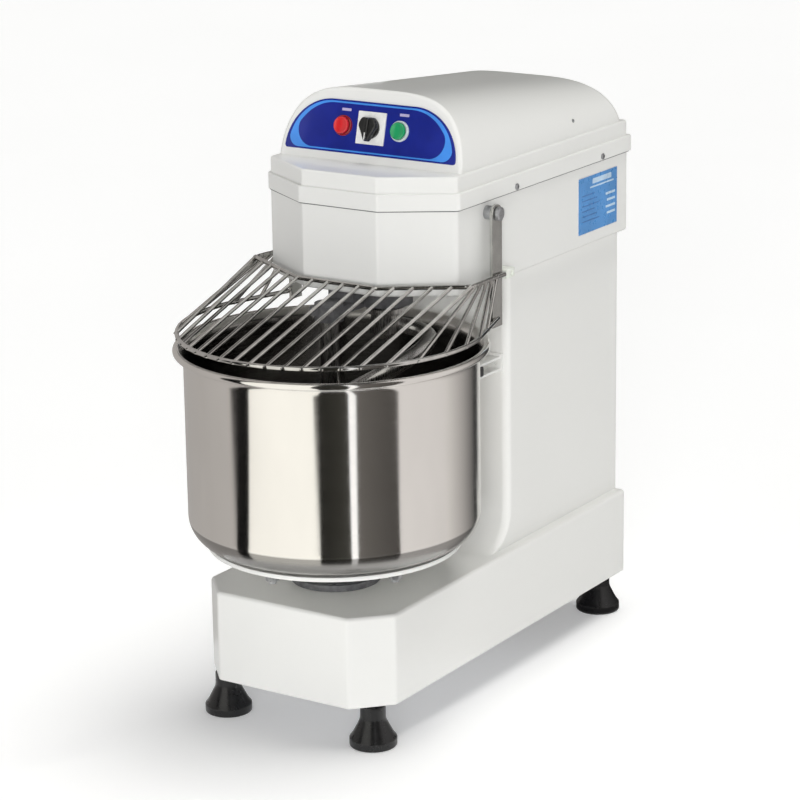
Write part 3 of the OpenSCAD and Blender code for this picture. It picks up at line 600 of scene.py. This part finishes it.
def make_head():
    z0, z1 = head_lo.z / MM, head_hi.z / MM
    outer = mesh_of(*slab(head_outline, z0, z1, 3.5, 0.5))
    inner = mesh_of(*slab(lambda inset: head_outline(3 + inset), z0 + 3, z1 + 8, 1, 0.5))
    hole = round_opening(hook_axis, head_lo.z, 38.4 * MM)
    mesh = boolean(outer, [inner, hole, drive_opening(head_lo.z, 0.360)])
    finish_piece("head_casing", mesh, "frame", "paint_white", "head_shell")


def dome_ring(f, off, drop, n=72):
    """Ring across the dome: f is the way from the front face to the tail."""
    ring = []
    for i in range(-1, n + 2):
        t = math.pi * (1 - min(max(i, 0), n) / n)
        low = drop if i < 0 or i > n else 0
        c = math.cos(t)
        x = (DOME_HALF - off) * math.copysign(math.sqrt(abs(c)), c)
        h_front = (DOME_RISE - off) * math.sin(t) - low
        h_tail = (DOME_TAIL - off) * math.sin(t) - low
        a = Vector((x, DOME_FRONT_Y + h_front * math.sin(DOME_LEAN),
                    LEDGE_Z + h_front * math.cos(DOME_LEAN)))
        b = Vector((x, DOME_REAR_Y - h_tail * math.sin(TAIL_LEAN),
                    LEDGE_Z + h_tail * math.cos(TAIL_LEAN)))
        ring.append(a.lerp(b, f))
    return ring


def dome_mesh(off, drop, front_round=5 * MM, tail_round=14 * MM):
    """Closed solid of the dome, off inside its surface and drop below its ledge."""
    length = DOME_REAR_Y - DOME_FRONT_Y
    layers = []
    for k in range(7):
        a = math.radians(90 - 15 * k)
        layers.append(dome_ring((off + front_round * (1 - math.sin(a))) / length,
                                off + front_round * (1 - math.cos(a)), drop))
    for k in range(1, 6):
        layers.append(dome_ring(k / 6, off, drop))
    for k in range(9):
        a = math.radians(90 / 8 * k)
        layers.append(dome_ring(1 - (off + tail_round * (1 - math.sin(a))) / length,
                                off + tail_round * (1 - math.cos(a)), drop))
    return mesh_of(*loft(layers))


def make_lid():
    lip0, lip1 = lid_lo.z / MM, 726.7
    ledge = LEDGE_Z / MM
    skirt = mesh_of(*slab(lambda inset: head_outline(inset, 4), lip0, lip1, 1.2, 2.2))
    collar = mesh_of(*slab(lambda inset: head_outline(inset + 0.5), lip1 - 4, ledge, 0.5, 3.5))
    hollow_low = mesh_of(*slab(lambda inset: head_outline(inset - 0.4), lip0 - 5, lip1 - 2.5, 0.3, 0.5))
    hollow_high = mesh_of(*slab(lambda inset: head_outline(inset + 3), lip1 - 8, ledge - 3, 0.5, 1))
    holes = [cylinder_mesh(on_face(x, BUTTON_H, -0.012), on_face(x, BUTTON_H, 0.012), 7.5 * MM)
             for x in (-BUTTON_X, 0, BUTTON_X)]
    solid = boolean(skirt, [collar, dome_mesh(0, 2 * MM)], "UNION")
    mesh = boolean(solid, [hollow_low, hollow_high, dome_mesh(SHEET, 12 * MM), *holes])
    finish_piece("lid_cover", mesh, "frame", "paint_white", "lid", smooth=35)
    # Thin dark strip under the lip, made as a seal: a painted shadow line along the lip's lower edge.
    outer = mesh_of(*slab(lambda inset: head_outline(inset, 2.2), lip0 - 1.3, lip0 + 3, 0.4, 0.3))
    core = mesh_of(*slab(lambda inset: head_outline(inset, 0.1), lip0 - 6, lip0 + 8, 0.2, 0.2))
    finish_piece("lid_shadow_strip", boolean(outer, [core]), "frame", "plastic_dark",
                 material=shadow_strip_grey)


# ---- control panel ----

PANEL_LOW = 11
PANEL_R = 72
PANEL_TOP_HALF = 65.3


def panel_outline(inset=0.0, corner=4.0):
    """The panel's arched outline on the face, counter-clockwise, in millimetres."""
    r = PANEL_R - inset
    low = PANEL_LOW + inset
    c = max(corner - inset * 0.3, 0.5)
    side = PANEL_TOP_HALF + math.sqrt(r * r - (low + c - PANEL_LOW) ** 2)
    right = arc(side - c, low + c, c, -90, 0, 6)
    start = math.degrees(math.atan2(low + c - PANEL_LOW, side - PANEL_TOP_HALF))
    right += arc(PANEL_TOP_HALF, PANEL_LOW, r, start, 90, 30)[1:]
    return [Vector(p) for p in right + [(-x, y) for x, y in reversed(right)]]


def plate_on_face(name, outline, low, high, body, slot, replaces=None, material=None, bevel=0.4):
    """A flat plate on the face with a rounded upper edge; outline(inset) gives its rings."""
    rings = [(0, low), (0, high - bevel), (bevel * 0.3, high - bevel * 0.3), (bevel, high)]
    verts, faces = loft([[(p.x * MM, p.y * MM, z * MM) for p in outline(inset)]
                         for inset, z in rings])
    obj = piece(name, verts, faces, body, slot, replaces, material)
    return lay_on_face(obj)


def rounded_rect(cx, cy, w, h, r):
    """Outline function of a rectangle with round corners."""
    corners = [(cx - w / 2, cy - h / 2), (cx + w / 2, cy - h / 2),
               (cx + w / 2, cy + h / 2), (cx - w / 2, cy + h / 2)]
    return lambda inset: rounded_outline(corners, [r] * 4, inset)


def make_panel():
    plate_on_face("panel_plate", panel_outline, 0, 1.5, "frame", "panel_blue", "control_panel")

    def band(inset):
        """Light-blue band: close to the edge at the top, further in at the lower corners."""
        return [Vector((p.x * (1 - 0.022 * (1 - (p.y - PANEL_LOW) / PANEL_R)), p.y))
                for p in panel_outline(inset + 2.4, 15)]

    def field(inset):
        corners = [(-118, 15.4), (118, 15.4), (118, 47), (90, 78.2), (-90, 78.2), (-118, 47)]
        return rounded_outline(corners, [24, 24, 18, 62, 62, 18], inset, 12)

    plate_on_face("panel_band", band, 1.4, 1.56, "frame", "panel_blue", material=light_blue,
                  bevel=0.05)
    plate_on_face("panel_field", field, 1.45, 1.62, "frame", "panel_blue", bevel=0.05)
    for side_name, x in (("left", -43), ("right", 50)):
        plate_on_face(f"panel_caption_{side_name}", rounded_rect(x, 70, 15, 3.6, 0.8), 1.5, 1.7,
                      "frame", "panel_blue", material=pale_ink, bevel=0.05)


def face_lathe(name, profile, x, body, slot, replaces=None, material=None):
    """Round piece on the face, x across and at the buttons' height."""
    obj = lathe(name, profile, (x, BUTTON_H), body, slot, replaces, 64, 35, material)
    return lay_on_face(obj)


def make_buttons():
    ring = [(0, 1.6), (14.3, 1.6), (14.3, 3.6), (13.6, 4.6), (12.4, 4.8), (12.0, 4.4), (12.0, 1.9),
            (0, 1.9)]
    face_lathe("stop_bezel", ring, -BUTTON_X, "frame", "bezel_light", "button_bezels",
               material=red_ring)
    face_lathe("start_bezel", ring, BUTTON_X, "frame", "bezel_light")
    cap = [(0, 5.5), (11.5, 5.5), (11.7, 5.8), (11.7, 8.2), (11.2, 9.3), (10.0, 9.9), (8.2, 9.5),
           (5, 9.2), (0, 9.1)]
    stem = [(0, -22), (5, -22), (5, 4), (0, 4)]
    for name, x, slot in (("stop_button", -BUTTON_X, "button_red"),
                          ("start_button", BUTTON_X, "button_green")):
        face_lathe(name + "_cap", cap, x, name, slot, name)
        face_lathe(name + "_stem", stem, x, name, slot, material=MATS["plastic_dark"])


def make_selector():
    plate_on_face("selector_plate", rounded_rect(0, BUTTON_H / MM, 44.4, 44.4, 1.2), 1.6, 3.6,
                  "frame", "plate_white", "switch_plate")
    skirt = [(0, 3.9), (14.4, 3.9), (14.5, 4.4), (14.5, 6.4), (13.6, 7.6), (0, 7.8)]
    face_lathe("selector_skirt", skirt, 0, "selector", "knob_black", "selector_knob")

    def pear(inset):
        corners = [(-4.0, -18.3), (4.0, -18.3), (15.2, 3.5), (10.5, 14.2), (-10.5, 14.2),
                   (-15.2, 3.5)]
        pts = rounded_outline(corners, [3.5, 3.5, 8, 6, 6, 8], inset, 8)
        return [p + Vector((0, BUTTON_H / MM)) for p in pts]

    rings = [(1.6, 7.6), (0, 9.0), (0.2, 12.4), (1.2, 14.2), (3.0, 15.2)]
    verts, faces = loft([[(p.x * MM, p.y * MM, z * MM) for p in pear(i)] for i, z in rings])
    lay_on_face(piece("selector_handle", verts, faces, "selector", "knob_black"))

    def grip(inset):
        corners = [(-2.6, -17.2), (2.6, -17.2), (3.6, 13.6), (-3.6, 13.6)]
        pts = rounded_outline(corners, [2.4, 2.4, 3.2, 3.2], inset, 6)
        return [p + Vector((0, BUTTON_H / MM)) for p in pts]

    rings = [(0, 14), (0, 16.6), (0.5, 17.5), (1.5, 17.9)]
    verts, faces = loft([[(p.x * MM, p.y * MM, z * MM) for p in grip(i)] for i, z in rings])
    lay_on_face(piece("selector_grip", verts, faces, "selector", "knob_black"))
    verts, faces = loft([[(x * MM, (BUTTON_H / MM + y) * MM, z * MM) for x, y in
                          ((-0.7, -16.4), (0.7, -16.4), (0.7, -7), (-0.7, -7))]
                         for z in (17.4, 18.0)])
    lay_on_face(piece("selector_pointer", verts, faces, "selector", "knob_black",
                      material=MATS["plate_white"]))


def make_rating_plate():
    """Sticker on the head's side: pale border, blue field and generic bars for print."""
    lo, hi = box("rating_plate")

    def patch(name, y0, y1, z0, z1, low, high, r, replaces=None, material=None):
        outline = rounded_rect((y0 + y1) / 2 / MM, (z0 + z1) / 2 / MM, (y1 - y0) / MM,
                               (z1 - z0) / MM, r)
        rings = [(0, low), (0, high - 0.04), (0.04, high)]
        verts, faces = loft([[(lo.x + d * MM, p.x * MM, p.y * MM) for p in outline(i)]
                             for i, d in rings])
        piece(name, verts, faces, "frame", "label_blue", replaces, material)

    edge = 1.2 * MM
    patch("rating_border", lo.y, hi.y, lo.z, hi.z, 0, 0.45, 1.5, "rating_plate", pale_border)
    patch("rating_field", lo.y + edge, hi.y - edge, lo.z + edge, hi.z - edge, 0.4, 0.58, 1)
    width = hi.y - lo.y
    patch("rating_header", lo.y + 0.36 * width, hi.y - 0.16 * width, hi.z - 0.014, hi.z - 0.0065,
          0.5, 0.66, 0.6, None, label_ink)
    patch("rating_subheader", lo.y + 0.30 * width, hi.y - 0.10 * width, hi.z - 0.0195,
          hi.z - 0.0172, 0.5, 0.66, 0.5, None, label_ink)
    for k in range(6):
        top = hi.z - 0.027 - 0.0075 * k
        patch(f"rating_text_{k}", lo.y + 0.10 * width, lo.y + (0.42 + 0.06 * (k % 3)) * width,
              top - 0.0016, top, 0.5, 0.66, 0.4, None, dark_ink)
    for k in range(4):
        top = hi.z - 0.034 - 0.0095 * k
        patch(f"rating_value_{k}", hi.y - (0.30 - 0.03 * (k % 2)) * width, hi.y - 0.06 * width,
              top - 0.0034, top, 0.5, 0.66, 0.5, None, label_ink)


# ---- feet, bowl and turntable ----

def make_feet():
    foot = ([(0, 0), (29.5, 0)] + arc(30.0, 2.5, 2.5, -80, 0, 4) + [(32.5, 10.5)]
            + arc(29.5, 10.5, 3.0, 0, 55, 4)
            + [(27.8, 17.6), (22.6, 27.6), (19.4, 34), (18.0, 37.6), (17.5, 41), (17.5, 55.8),
               (16.9, 57.3), (0, 57.5)])
    lo, hi = box("feet")
    r = 32.5 * MM
    first = True
    for sx, x in (("left", lo.x + r), ("right", hi.x - r)):
        for sy, y in (("front", lo.y + r), ("rear", hi.y - r)):
            lathe(f"foot_{sy}_{sx}", foot, (x, y), "frame", "foot_black",
                  "feet" if first else None, 72)
            first = False


def bowl_profile():
    """Section of the pressed bowl with its rolled rim, from the axis out and back."""
    r, z0, rim = BOWL_R, bowl_lo.z / MM, bowl_hi.z / MM - 5
    c, wall = 40.0, 2.0
    inner = r - wall
    pts = [(0, z0)]
    pts += arc(r - c, z0 + c, c, -90, 0, 20)
    pts += [(r, z0 + 120), (r, rim - 16), (r + 0.15, rim - 12.5), (r + 0.8, rim - 9.5),
            (r + 2.4, rim - 6.8), (r + 4.0, rim - 5.0)]
    pts += arc(r + 9, rim, 5, -135, 150, 22)
    pts += [(r + 2.6, rim - 0.2), (inner + 1.6, rim - 4.4), (inner + 0.5, rim - 9),
            (inner, rim - 14), (inner, z0 + 120)]
    pts += arc(r - c, z0 + c, c - wall, 0, -90, 20)
    pts += [(0, z0 + wall)]
    return pts


def make_bowl():
    lathe("bowl_pressing", bowl_profile(), bowl_axis, "bowl_unit", "stainless_bowl", "bowl", 192, 50)
    z = bowl_lo.z / MM
    disc = [(0, z - 16), (59, z - 16), (60, z - 15), (60, z - 7.2), (172, z - 7), (174.4, z - 6.2),
            (175, z - 5), (175, z - 2), (174.4, z - 0.6), (173, z - 0.1), (0, z - 0.1)]
    lathe("turntable_disc", disc, bowl_axis, "bowl_unit", "paint_white", "turntable", 144)


# ---- hook and breaker bar ----

def smooth_step(t):
    """Eases from 0 to 1."""
    u = min(max(t, 0.0), 1.0)
    return u * u * (3 - 2 * u)


def make_hook():
    steps, start, turn = 220, 70, 470
    top, bottom, radius, rod, sides = 532, 277, 66, 11, 28
    path = []
    for i in range(steps + 1):
        t = i / steps
        a = math.radians(start - turn * t)
        r = radius * (smooth_step(t / 0.14) - 0.62 * smooth_step((t - 0.86) / 0.14))
        z = top + (bottom - top) * (smooth_step(t * 0.9 + 0.05) * 1.028 - 0.0075)
        path.append(Vector((hook_axis.x + r * MM * math.cos(a),
                            hook_axis.y + r * MM * math.sin(a), z * MM)))
    parts = [tube(path, rod * MM, sides)]
    for p, q in ((path[0], path[1]), (path[-1], path[-2])):
        d = (p - q).normalized()
        verts, faces = tube([p - d * 0.001, p, p + d * 0.003, p + d * 0.0055], rod * MM, sides)
        for j, scale in enumerate((1, 1, 0.86, 0.5)):
            ring = verts[j * sides:(j + 1) * sides]
            mid = sum(ring, Vector()) / sides
            verts[j * sides:(j + 1) * sides] = [mid + (v - mid) * scale for v in ring]
        parts.append((verts, faces))
    piece("spiral_rod", *joined(parts), "hook_unit", "hook_steel", "spiral_hook")
    lo, hi = box("hook_shaft")
    z0, z1 = lo.z / MM, hi.z / MM
    shaft = [(0, z0), (10, z0), (13, z0 + 1.5), (18.8, z0 + 7), (20, z0 + 10), (20, 546),
             (26, 547.2), (27, 548.4), (27, 555), (26.2, 556), (20, 556.4), (20, z1 - 1.5),
             (18.8, z1), (0, z1)]
    lathe("hook_spindle", shaft, hook_axis, "hook_unit", "hook_steel", "hook_shaft", 72)
    lo, hi = box("breaker_bar")
    z0, z1 = lo.z / MM, hi.z / MM
    center = (lo + hi) / 2
    bar = [(0, z0), (7.5, z0), (10.6, z0 + 1.4), (12.4, z0 + 4), (13, z0 + 7.5), (13, z1 - 0.5),
           (12.5, z1), (0, z1)]
    lathe("breaker_rod", bar, center, "frame", "hook_steel", "breaker_bar", 64)


# ---- guard ----

RING_R = 207
RING_Z = 541
RING_END = 135.4  # how far round the ring reaches on each side, in degrees
RING_STEP = 2.7
NOSE = Vector((62, -158, 601))
CORNER = Vector((176, -98, 604))
CROWN_END = Vector((170.8, -4, 601))


def side(p, s):
    """Point in metres on the right (s = 1) or mirrored to the left (s = -1)."""
    return Vector((s * p.x, p.y, p.z)) * MM


def ring_point(phi, s):
    """Point on the guard's lower ring, phi degrees round from its front."""
    a = math.radians(min(phi, 108))
    over = math.radians(max(phi - 108, 0)) * RING_R
    return Vector((s * (RING_R * math.sin(a) + over * math.cos(a)),
                   bowl_axis.y / MM - RING_R * math.cos(a) + over * math.sin(a), RING_Z)) * MM


def rounded_path(points, radius, steps=8):
    """Path through points with round bends."""
    path = [points[0]]
    for a, p, b in zip(points, points[1:], points[2:]):
        u, v = (a - p).normalized(), (b - p).normalized()
        half = u.angle(v) / 2
        reach = radius / math.tan(half)
        start, end = p + u * reach, p + v * reach
        for k in range(steps + 1):
            t = k / steps
            path.append(start * (1 - t) ** 2 + p * 2 * t * (1 - t) + end * t ** 2)
    path.append(points[-1])
    return path


def crown_point(d):
    """Point on the top wire, d millimetres from the middle along it."""
    slant = (CORNER - NOSE).length
    if d <= NOSE.x:
        return Vector((d, NOSE.y, NOSE.z))
    if d <= NOSE.x + slant:
        return NOSE.lerp(CORNER, (d - NOSE.x) / slant)
    return CORNER.lerp(CROWN_END, (d - NOSE.x - slant) / (CROWN_END - CORNER).length)


def weld(center, r, squash=0.7):
    """Small weld bead."""
    rings = []
    for j in range(1, 6):
        a = math.pi * j / 6
        rings.append([(center + Vector((r * math.sin(a) * math.cos(b), r * math.sin(a) * math.sin(b),
                                        -r * squash * math.cos(a)))) for b in
                      (2 * math.pi * k / 10 for k in range(10))])
    return loft(rings)


def make_guard():
    wire, steps = 3.2 * MM, 51
    ring = [ring_point(RING_END - RING_STEP * k, 1) for k in range(steps)]
    ring += [ring_point(RING_STEP * k, -1) for k in range(1, steps)] + [ring_point(RING_END, -1)]
    piece("guard_hoop", *tube(ring, wire, 18), "guard", "bright_wire", "guard_ring")
    crown = rounded_path([side(CROWN_END, -1), side(CORNER, -1), side(NOSE, -1), side(NOSE, 1),
                          side(CORNER, 1), side(CROWN_END, 1)], 16 * MM)
    piece("guard_top_wire", *tube(crown, wire, 18), "guard", "bright_wire", "guard_crown")
    parts = []
    slant = (CORNER - NOSE).length
    for s in (-1, 1):
        for k in range(13):
            d = 24.8 * (k + 0.5) + max(k - 2, 0) if k < 8 else NOSE.x + slant + 14.4 * (k - 7)
            phi = 3.4 + 6.8 * k if k < 7 else 54 + 12.8 * (k - 7)
            top, low = side(crown_point(d), s), ring_point(phi, s)
            along = (low - top).normalized()
            parts.append(tube([top - along * 2.5 * MM, low + along * 2.5 * MM], 2.6 * MM, 12))
            parts.append(weld(low + along * 1.2 * MM, 3.9 * MM))
            parts.append(weld(top - along * 1.0 * MM, 3.7 * MM))
    piece("guard_fill_wires", *joined(parts), "guard", "bright_wire", "guard_wires")


# ---- fasteners ----

def screw_head(at, axis, r=4.5, h=2.6):
    """Pan head with a cross recess."""
    n = 32
    profile = [(r, 0), (r, h * 0.35), (r * 0.93, h * 0.62), (r * 0.72, h * 0.88), (r * 0.4, h)]
    turns = [2 * math.pi * k / n for k in range(n)]
    verts, faces = loft([[Vector((q * math.cos(a), q * math.sin(a), z)) for a in turns]
                         for q, z in profile])
    head = mesh_of([v * MM for v in verts], faces)
    arm, slit, deep, above = r * 0.55 * MM, 0.5 * MM, h * 0.5 * MM, 2 * h * MM
    cross = [box_mesh((-x, -y, deep), (x, y, above)) for x, y in ((arm, slit), (slit, arm))]
    mesh = boolean(head, cross)
    turn = Vector((0, 0, 1)).rotation_difference(Vector(axis)).to_matrix().to_4x4()
    spin = Matrix.Rotation(random.uniform(0, math.pi), 4, "Z")
    mesh.transform(Matrix.Translation(at) @ turn @ spin)
    return [v.co.copy() for v in mesh.vertices], [tuple(p.vertices) for p in mesh.polygons]


def make_screws():
    parts = []
    for s in (-1, 1):
        for y in (56.5, 297):
            parts.append(screw_head(Vector((s * 154.9, y, 709)) * MM, (s, 0, 0)))
        parts.append(screw_head(Vector((s * 142.6, 232, 770)) * MM, (s, 0, 0.22), 2.9, 2.0))
        for z in (205, 330, 455, 568):
            parts.append(screw_head(Vector((s * 124, column_hi.y / MM - 0.1, z)) * MM, (0, 1, 0)))
    piece("casing_screws", *joined(parts), "frame", "zinc_steel", "case_screws")


# ---- CAD nodes that keep their shape ----

def soften(name, width):
    """Fine bevel on a CAD node's edges, in millimetres, with its slot's material."""
    obj = nodes[name]
    obj.data.materials.clear()
    obj.data.materials.append(MATS[slot_of_node[name]])
    weld_mod = obj.modifiers.new("weld", "WELD")
    weld_mod.merge_threshold = 0.00002
    flat = obj.modifiers.new("flat", "DECIMATE")
    flat.decimate_type = "DISSOLVE"
    flat.angle_limit = math.radians(0.6)
    bevel = obj.modifiers.new("bevel", "BEVEL")
    bevel.width = width * MM
    bevel.segments = 2
    bevel.limit_method = "ANGLE"
    bevel.angle_limit = math.radians(40)


# Bevel width on each CAD node that is kept, in millimetres
KEPT = {
    "base_floor": 0.5, "foot_studs": 0.4, "rear_panel": 0.4, "head_plate": 0.8, "switch_blocks": 0.8,
    "interlock_housing": 1.2, "guard_pivot_pins": 0.7, "breaker_bracket": 1.5,
    "hook_bearing_housing": 1.2, "shaft_bearings": 0.4, "bearing_blocks": 1.0,
    "bowl_bearing_housing": 1.5, "motor_body": 0.6, "motor_mount": 0.8, "fan_cover": 0.6,
    "electrical_box": 1.0, "cable_gland": 0.6, "roller_brackets": 0.6, "drive_belts": 0.8,
    "hook_chain": 0.3, "transfer_chain": 0.3, "bowl_chain": 0.3, "turntable_bolts": 0.5,
    "bowl_shaft": 0.8, "bowl_sprocket": 0.3, "hook_sprocket": 0.3, "countershaft": 0.8,
    "countershaft_pulley": 0.6, "countershaft_sprockets": 0.3, "transfer_shaft": 0.8,
    "transfer_sprockets": 0.3, "motor_shaft": 0.8, "motor_pulley": 0.5, "motor_fan": 0.4,
    "guard_arms": 0.7, "interlock_plunger": 0.6, "guide_roller_left": 1.2,
    "guide_roller_right": 1.2,
}


# ---- stage, lights and camera ----

def glossy_card(name, top, foot, levels, tint=(1, 1, 1), distance=1.06):
    """Card seen only in reflections, between two azimuths: over the floor, then upright.

    top and foot are azimuths from the camera's, and levels the brightness at left and right.
    """
    rows = [(0.34, 0.003, foot), (distance, 0.004, foot), (distance, 0.25, top),
            (distance, 3.0, top)]
    steps = max(int((top[1] - top[0]) / 4), 2)
    verts = []
    for reach, z, (left, right) in rows:
        for i in range(steps + 1):
            a = math.radians(CAMERA_AZIMUTH + left + (right - left) * i / steps)
            verts.append((reach * math.sin(a), bowl_axis.y - reach * math.cos(a), z))
    faces = [(j * (steps + 1) + i, j * (steps + 1) + i + 1, (j + 1) * (steps + 1) + i + 1,
              (j + 1) * (steps + 1) + i) for j in range(3) for i in range(steps)]
    mesh = bpy.data.meshes.new(name)
    mesh.from_pydata(verts, [], faces)
    level = mesh.attributes.new("level", "FLOAT", "POINT")
    for k in range(len(verts)):
        level.data[k].value = levels[0] + (levels[1] - levels[0]) * (k % (steps + 1)) / steps
    card = bpy.data.objects.new(name, mesh)
    bpy.context.scene.collection.objects.link(card)
    mat = bpy.data.materials.new(name)
    mat.use_nodes = True
    tree = mat.node_tree
    tree.nodes.clear()
    glow = tree.nodes.new("ShaderNodeEmission")
    glow.inputs["Color"].default_value = (*tint, 1)
    read = tree.nodes.new("ShaderNodeAttribute")
    read.attribute_name = "level"
    tree.links.new(read.outputs["Fac"], glow.inputs["Strength"])
    out = tree.nodes.new("ShaderNodeOutputMaterial")
    tree.links.new(glow.outputs[0], out.inputs["Surface"])
    card.data.materials.append(mat)
    card.visible_camera = False
    card.visible_diffuse = False
    card.visible_shadow = False
    card.visible_transmission = False


def sun(name, toward, strength, softness, color=(1, 1, 1)):
    """Soft distant light; toward points from the mixer to the light."""
    data = bpy.data.lights.new(name, "SUN")
    data.energy = strength
    data.angle = math.radians(softness)
    data.color = color
    light = bpy.data.objects.new(name, data)
    light.rotation_euler = Vector(toward).to_track_quat("Z", "Y").to_euler()
    light.visible_glossy = False
    bpy.context.scene.collection.objects.link(light)


CAMERA_AZIMUTH = 32.98
CAMERA_ELEVATION = 15.97
CAMERA_ROLL = -0.8
CAMERA_DISTANCE = 4.087
CAMERA_TARGET = Vector((0.0164, -0.0298, 0.4081))


def make_camera():
    az, el, roll = (math.radians(a) for a in (CAMERA_AZIMUTH, CAMERA_ELEVATION, CAMERA_ROLL))
    back = Vector((math.sin(az) * math.cos(el), -math.cos(az) * math.cos(el), math.sin(el)))
    right = Vector((math.cos(az), math.sin(az), 0))
    up = back.cross(right)
    across = right * math.cos(roll) + up * math.sin(roll)
    upward = up * math.cos(roll) - right * math.sin(roll)
    data = bpy.data.cameras.new("camera")
    data.sensor_width = 36
    data.lens = 132.12
    data.clip_end = 60
    camera = bpy.data.objects.new("camera", data)
    place = CAMERA_TARGET + back * CAMERA_DISTANCE
    camera.matrix_world = Matrix(((across.x, upward.x, back.x, place.x),
                                  (across.y, upward.y, back.y, place.y),
                                  (across.z, upward.z, back.z, place.z),
                                  (0, 0, 0, 1)))
    bpy.context.scene.collection.objects.link(camera)
    bpy.context.scene.camera = camera


def make_floor():
    bpy.ops.mesh.primitive_plane_add(size=40, location=(0, 0, 0))
    floor = bpy.context.object
    floor.name = "floor"
    s = Shader("floor_paper", (0.92, 0.92, 0.92), 0.9, Emission_Strength=0.23)
    s.set("Emission Color", (1, 1, 1, 1))
    s.tint(s.noise(2, 3), (0.915, 0.915, 0.915), (0.925, 0.925, 0.925))
    s.bump(s.noise(180, 3), 0.02, 0.0005)
    floor.data.materials.append(s.mat)


def make_world():
    """Soft room: a little brighter near the horizon; the camera sees plain white behind."""
    world = bpy.data.worlds.new("studio")
    bpy.context.scene.world = world
    world.use_nodes = True
    tree = world.node_tree
    tree.nodes.clear()
    new, link = tree.nodes.new, tree.links.new
    split = new("ShaderNodeSeparateXYZ")
    link(new("ShaderNodeTexCoord").outputs["Generated"], split.inputs[0])
    fall = new("ShaderNodeMapRange")
    fall.inputs["From Min"].default_value = 0.0
    fall.inputs["From Max"].default_value = 1.0
    fall.inputs["To Min"].default_value = 0.30
    fall.inputs["To Max"].default_value = 0.20
    link(split.outputs["Z"], fall.inputs["Value"])
    room = new("ShaderNodeBackground")
    room.inputs["Color"].default_value = (0.98, 0.985, 1.0, 1)
    path = new("ShaderNodeLightPath")
    dim = new("ShaderNodeMapRange")
    dim.inputs["To Min"].default_value = 1.0
    dim.inputs["To Max"].default_value = 0.4
    link(path.outputs["Is Glossy Ray"], dim.inputs["Value"])
    level = new("ShaderNodeMath")
    level.operation = "MULTIPLY"
    link(fall.outputs["Result"], level.inputs[0])
    link(dim.outputs["Result"], level.inputs[1])
    link(level.outputs[0], room.inputs["Strength"])
    behind = new("ShaderNodeBackground")
    behind.inputs["Color"].default_value = (1, 1, 1, 1)
    mix = new("ShaderNodeMixShader")
    link(path.outputs["Is Camera Ray"], mix.inputs["Fac"])
    link(room.outputs[0], mix.inputs[1])
    link(behind.outputs[0], mix.inputs[2])
    link(mix.outputs[0], new("ShaderNodeOutputWorld").inputs["Surface"])


def make_lights():
    sun("key", (0.12, 0.20, 0.97), 1.75, 34, (1.0, 0.995, 0.97))
    sun("fill", (0.50, -0.85, 0.14), 1.9, 24)
    glossy_card("card_left_grey", (-179, -76), (-179, -73.5), (0.40, 0.53), (1.0, 0.955, 0.92))
    glossy_card("card_left_flag", (-76, -59.5), (-73.5, -63), (0.004, 0.004))
    glossy_card("card_left_soft", (-59.5, -12), (-63, -9), (1.10, 1.20), (1.0, 0.985, 0.925))
    glossy_card("card_middle_flag", (-12, 12), (-9, 12.5), (0.016, 0.05), (1.0, 0.97, 0.82))
    glossy_card("card_strip", (12, 17.5), (12.5, 16.8), (1.3, 1.3))
    glossy_card("card_right_flag", (17.5, 48), (16.8, 47.5), (0.15, 0.075), (1.0, 0.93, 0.86))
    glossy_card("card_right_soft", (48, 90), (47.5, 90), (0.84, 0.74), (1.0, 0.965, 0.945))
    glossy_card("card_right_fall", (90, 132), (90, 132), (0.74, 0.10), (1.0, 0.96, 0.93))
    glossy_card("card_right_edge", (132, 176), (132, 176), (0.05, 0.05))


make_camera()
make_floor()
make_world()
make_lights()
make_base()
make_column()
make_head()
make_lid()
make_panel()
make_buttons()
make_selector()
make_rating_plate()
make_feet()
make_bowl()
make_hook()
make_guard()
make_screws()
for name, width in KEPT.items():
    soften(name, width)

bpy.context.scene.view_settings.view_transform = "Standard"
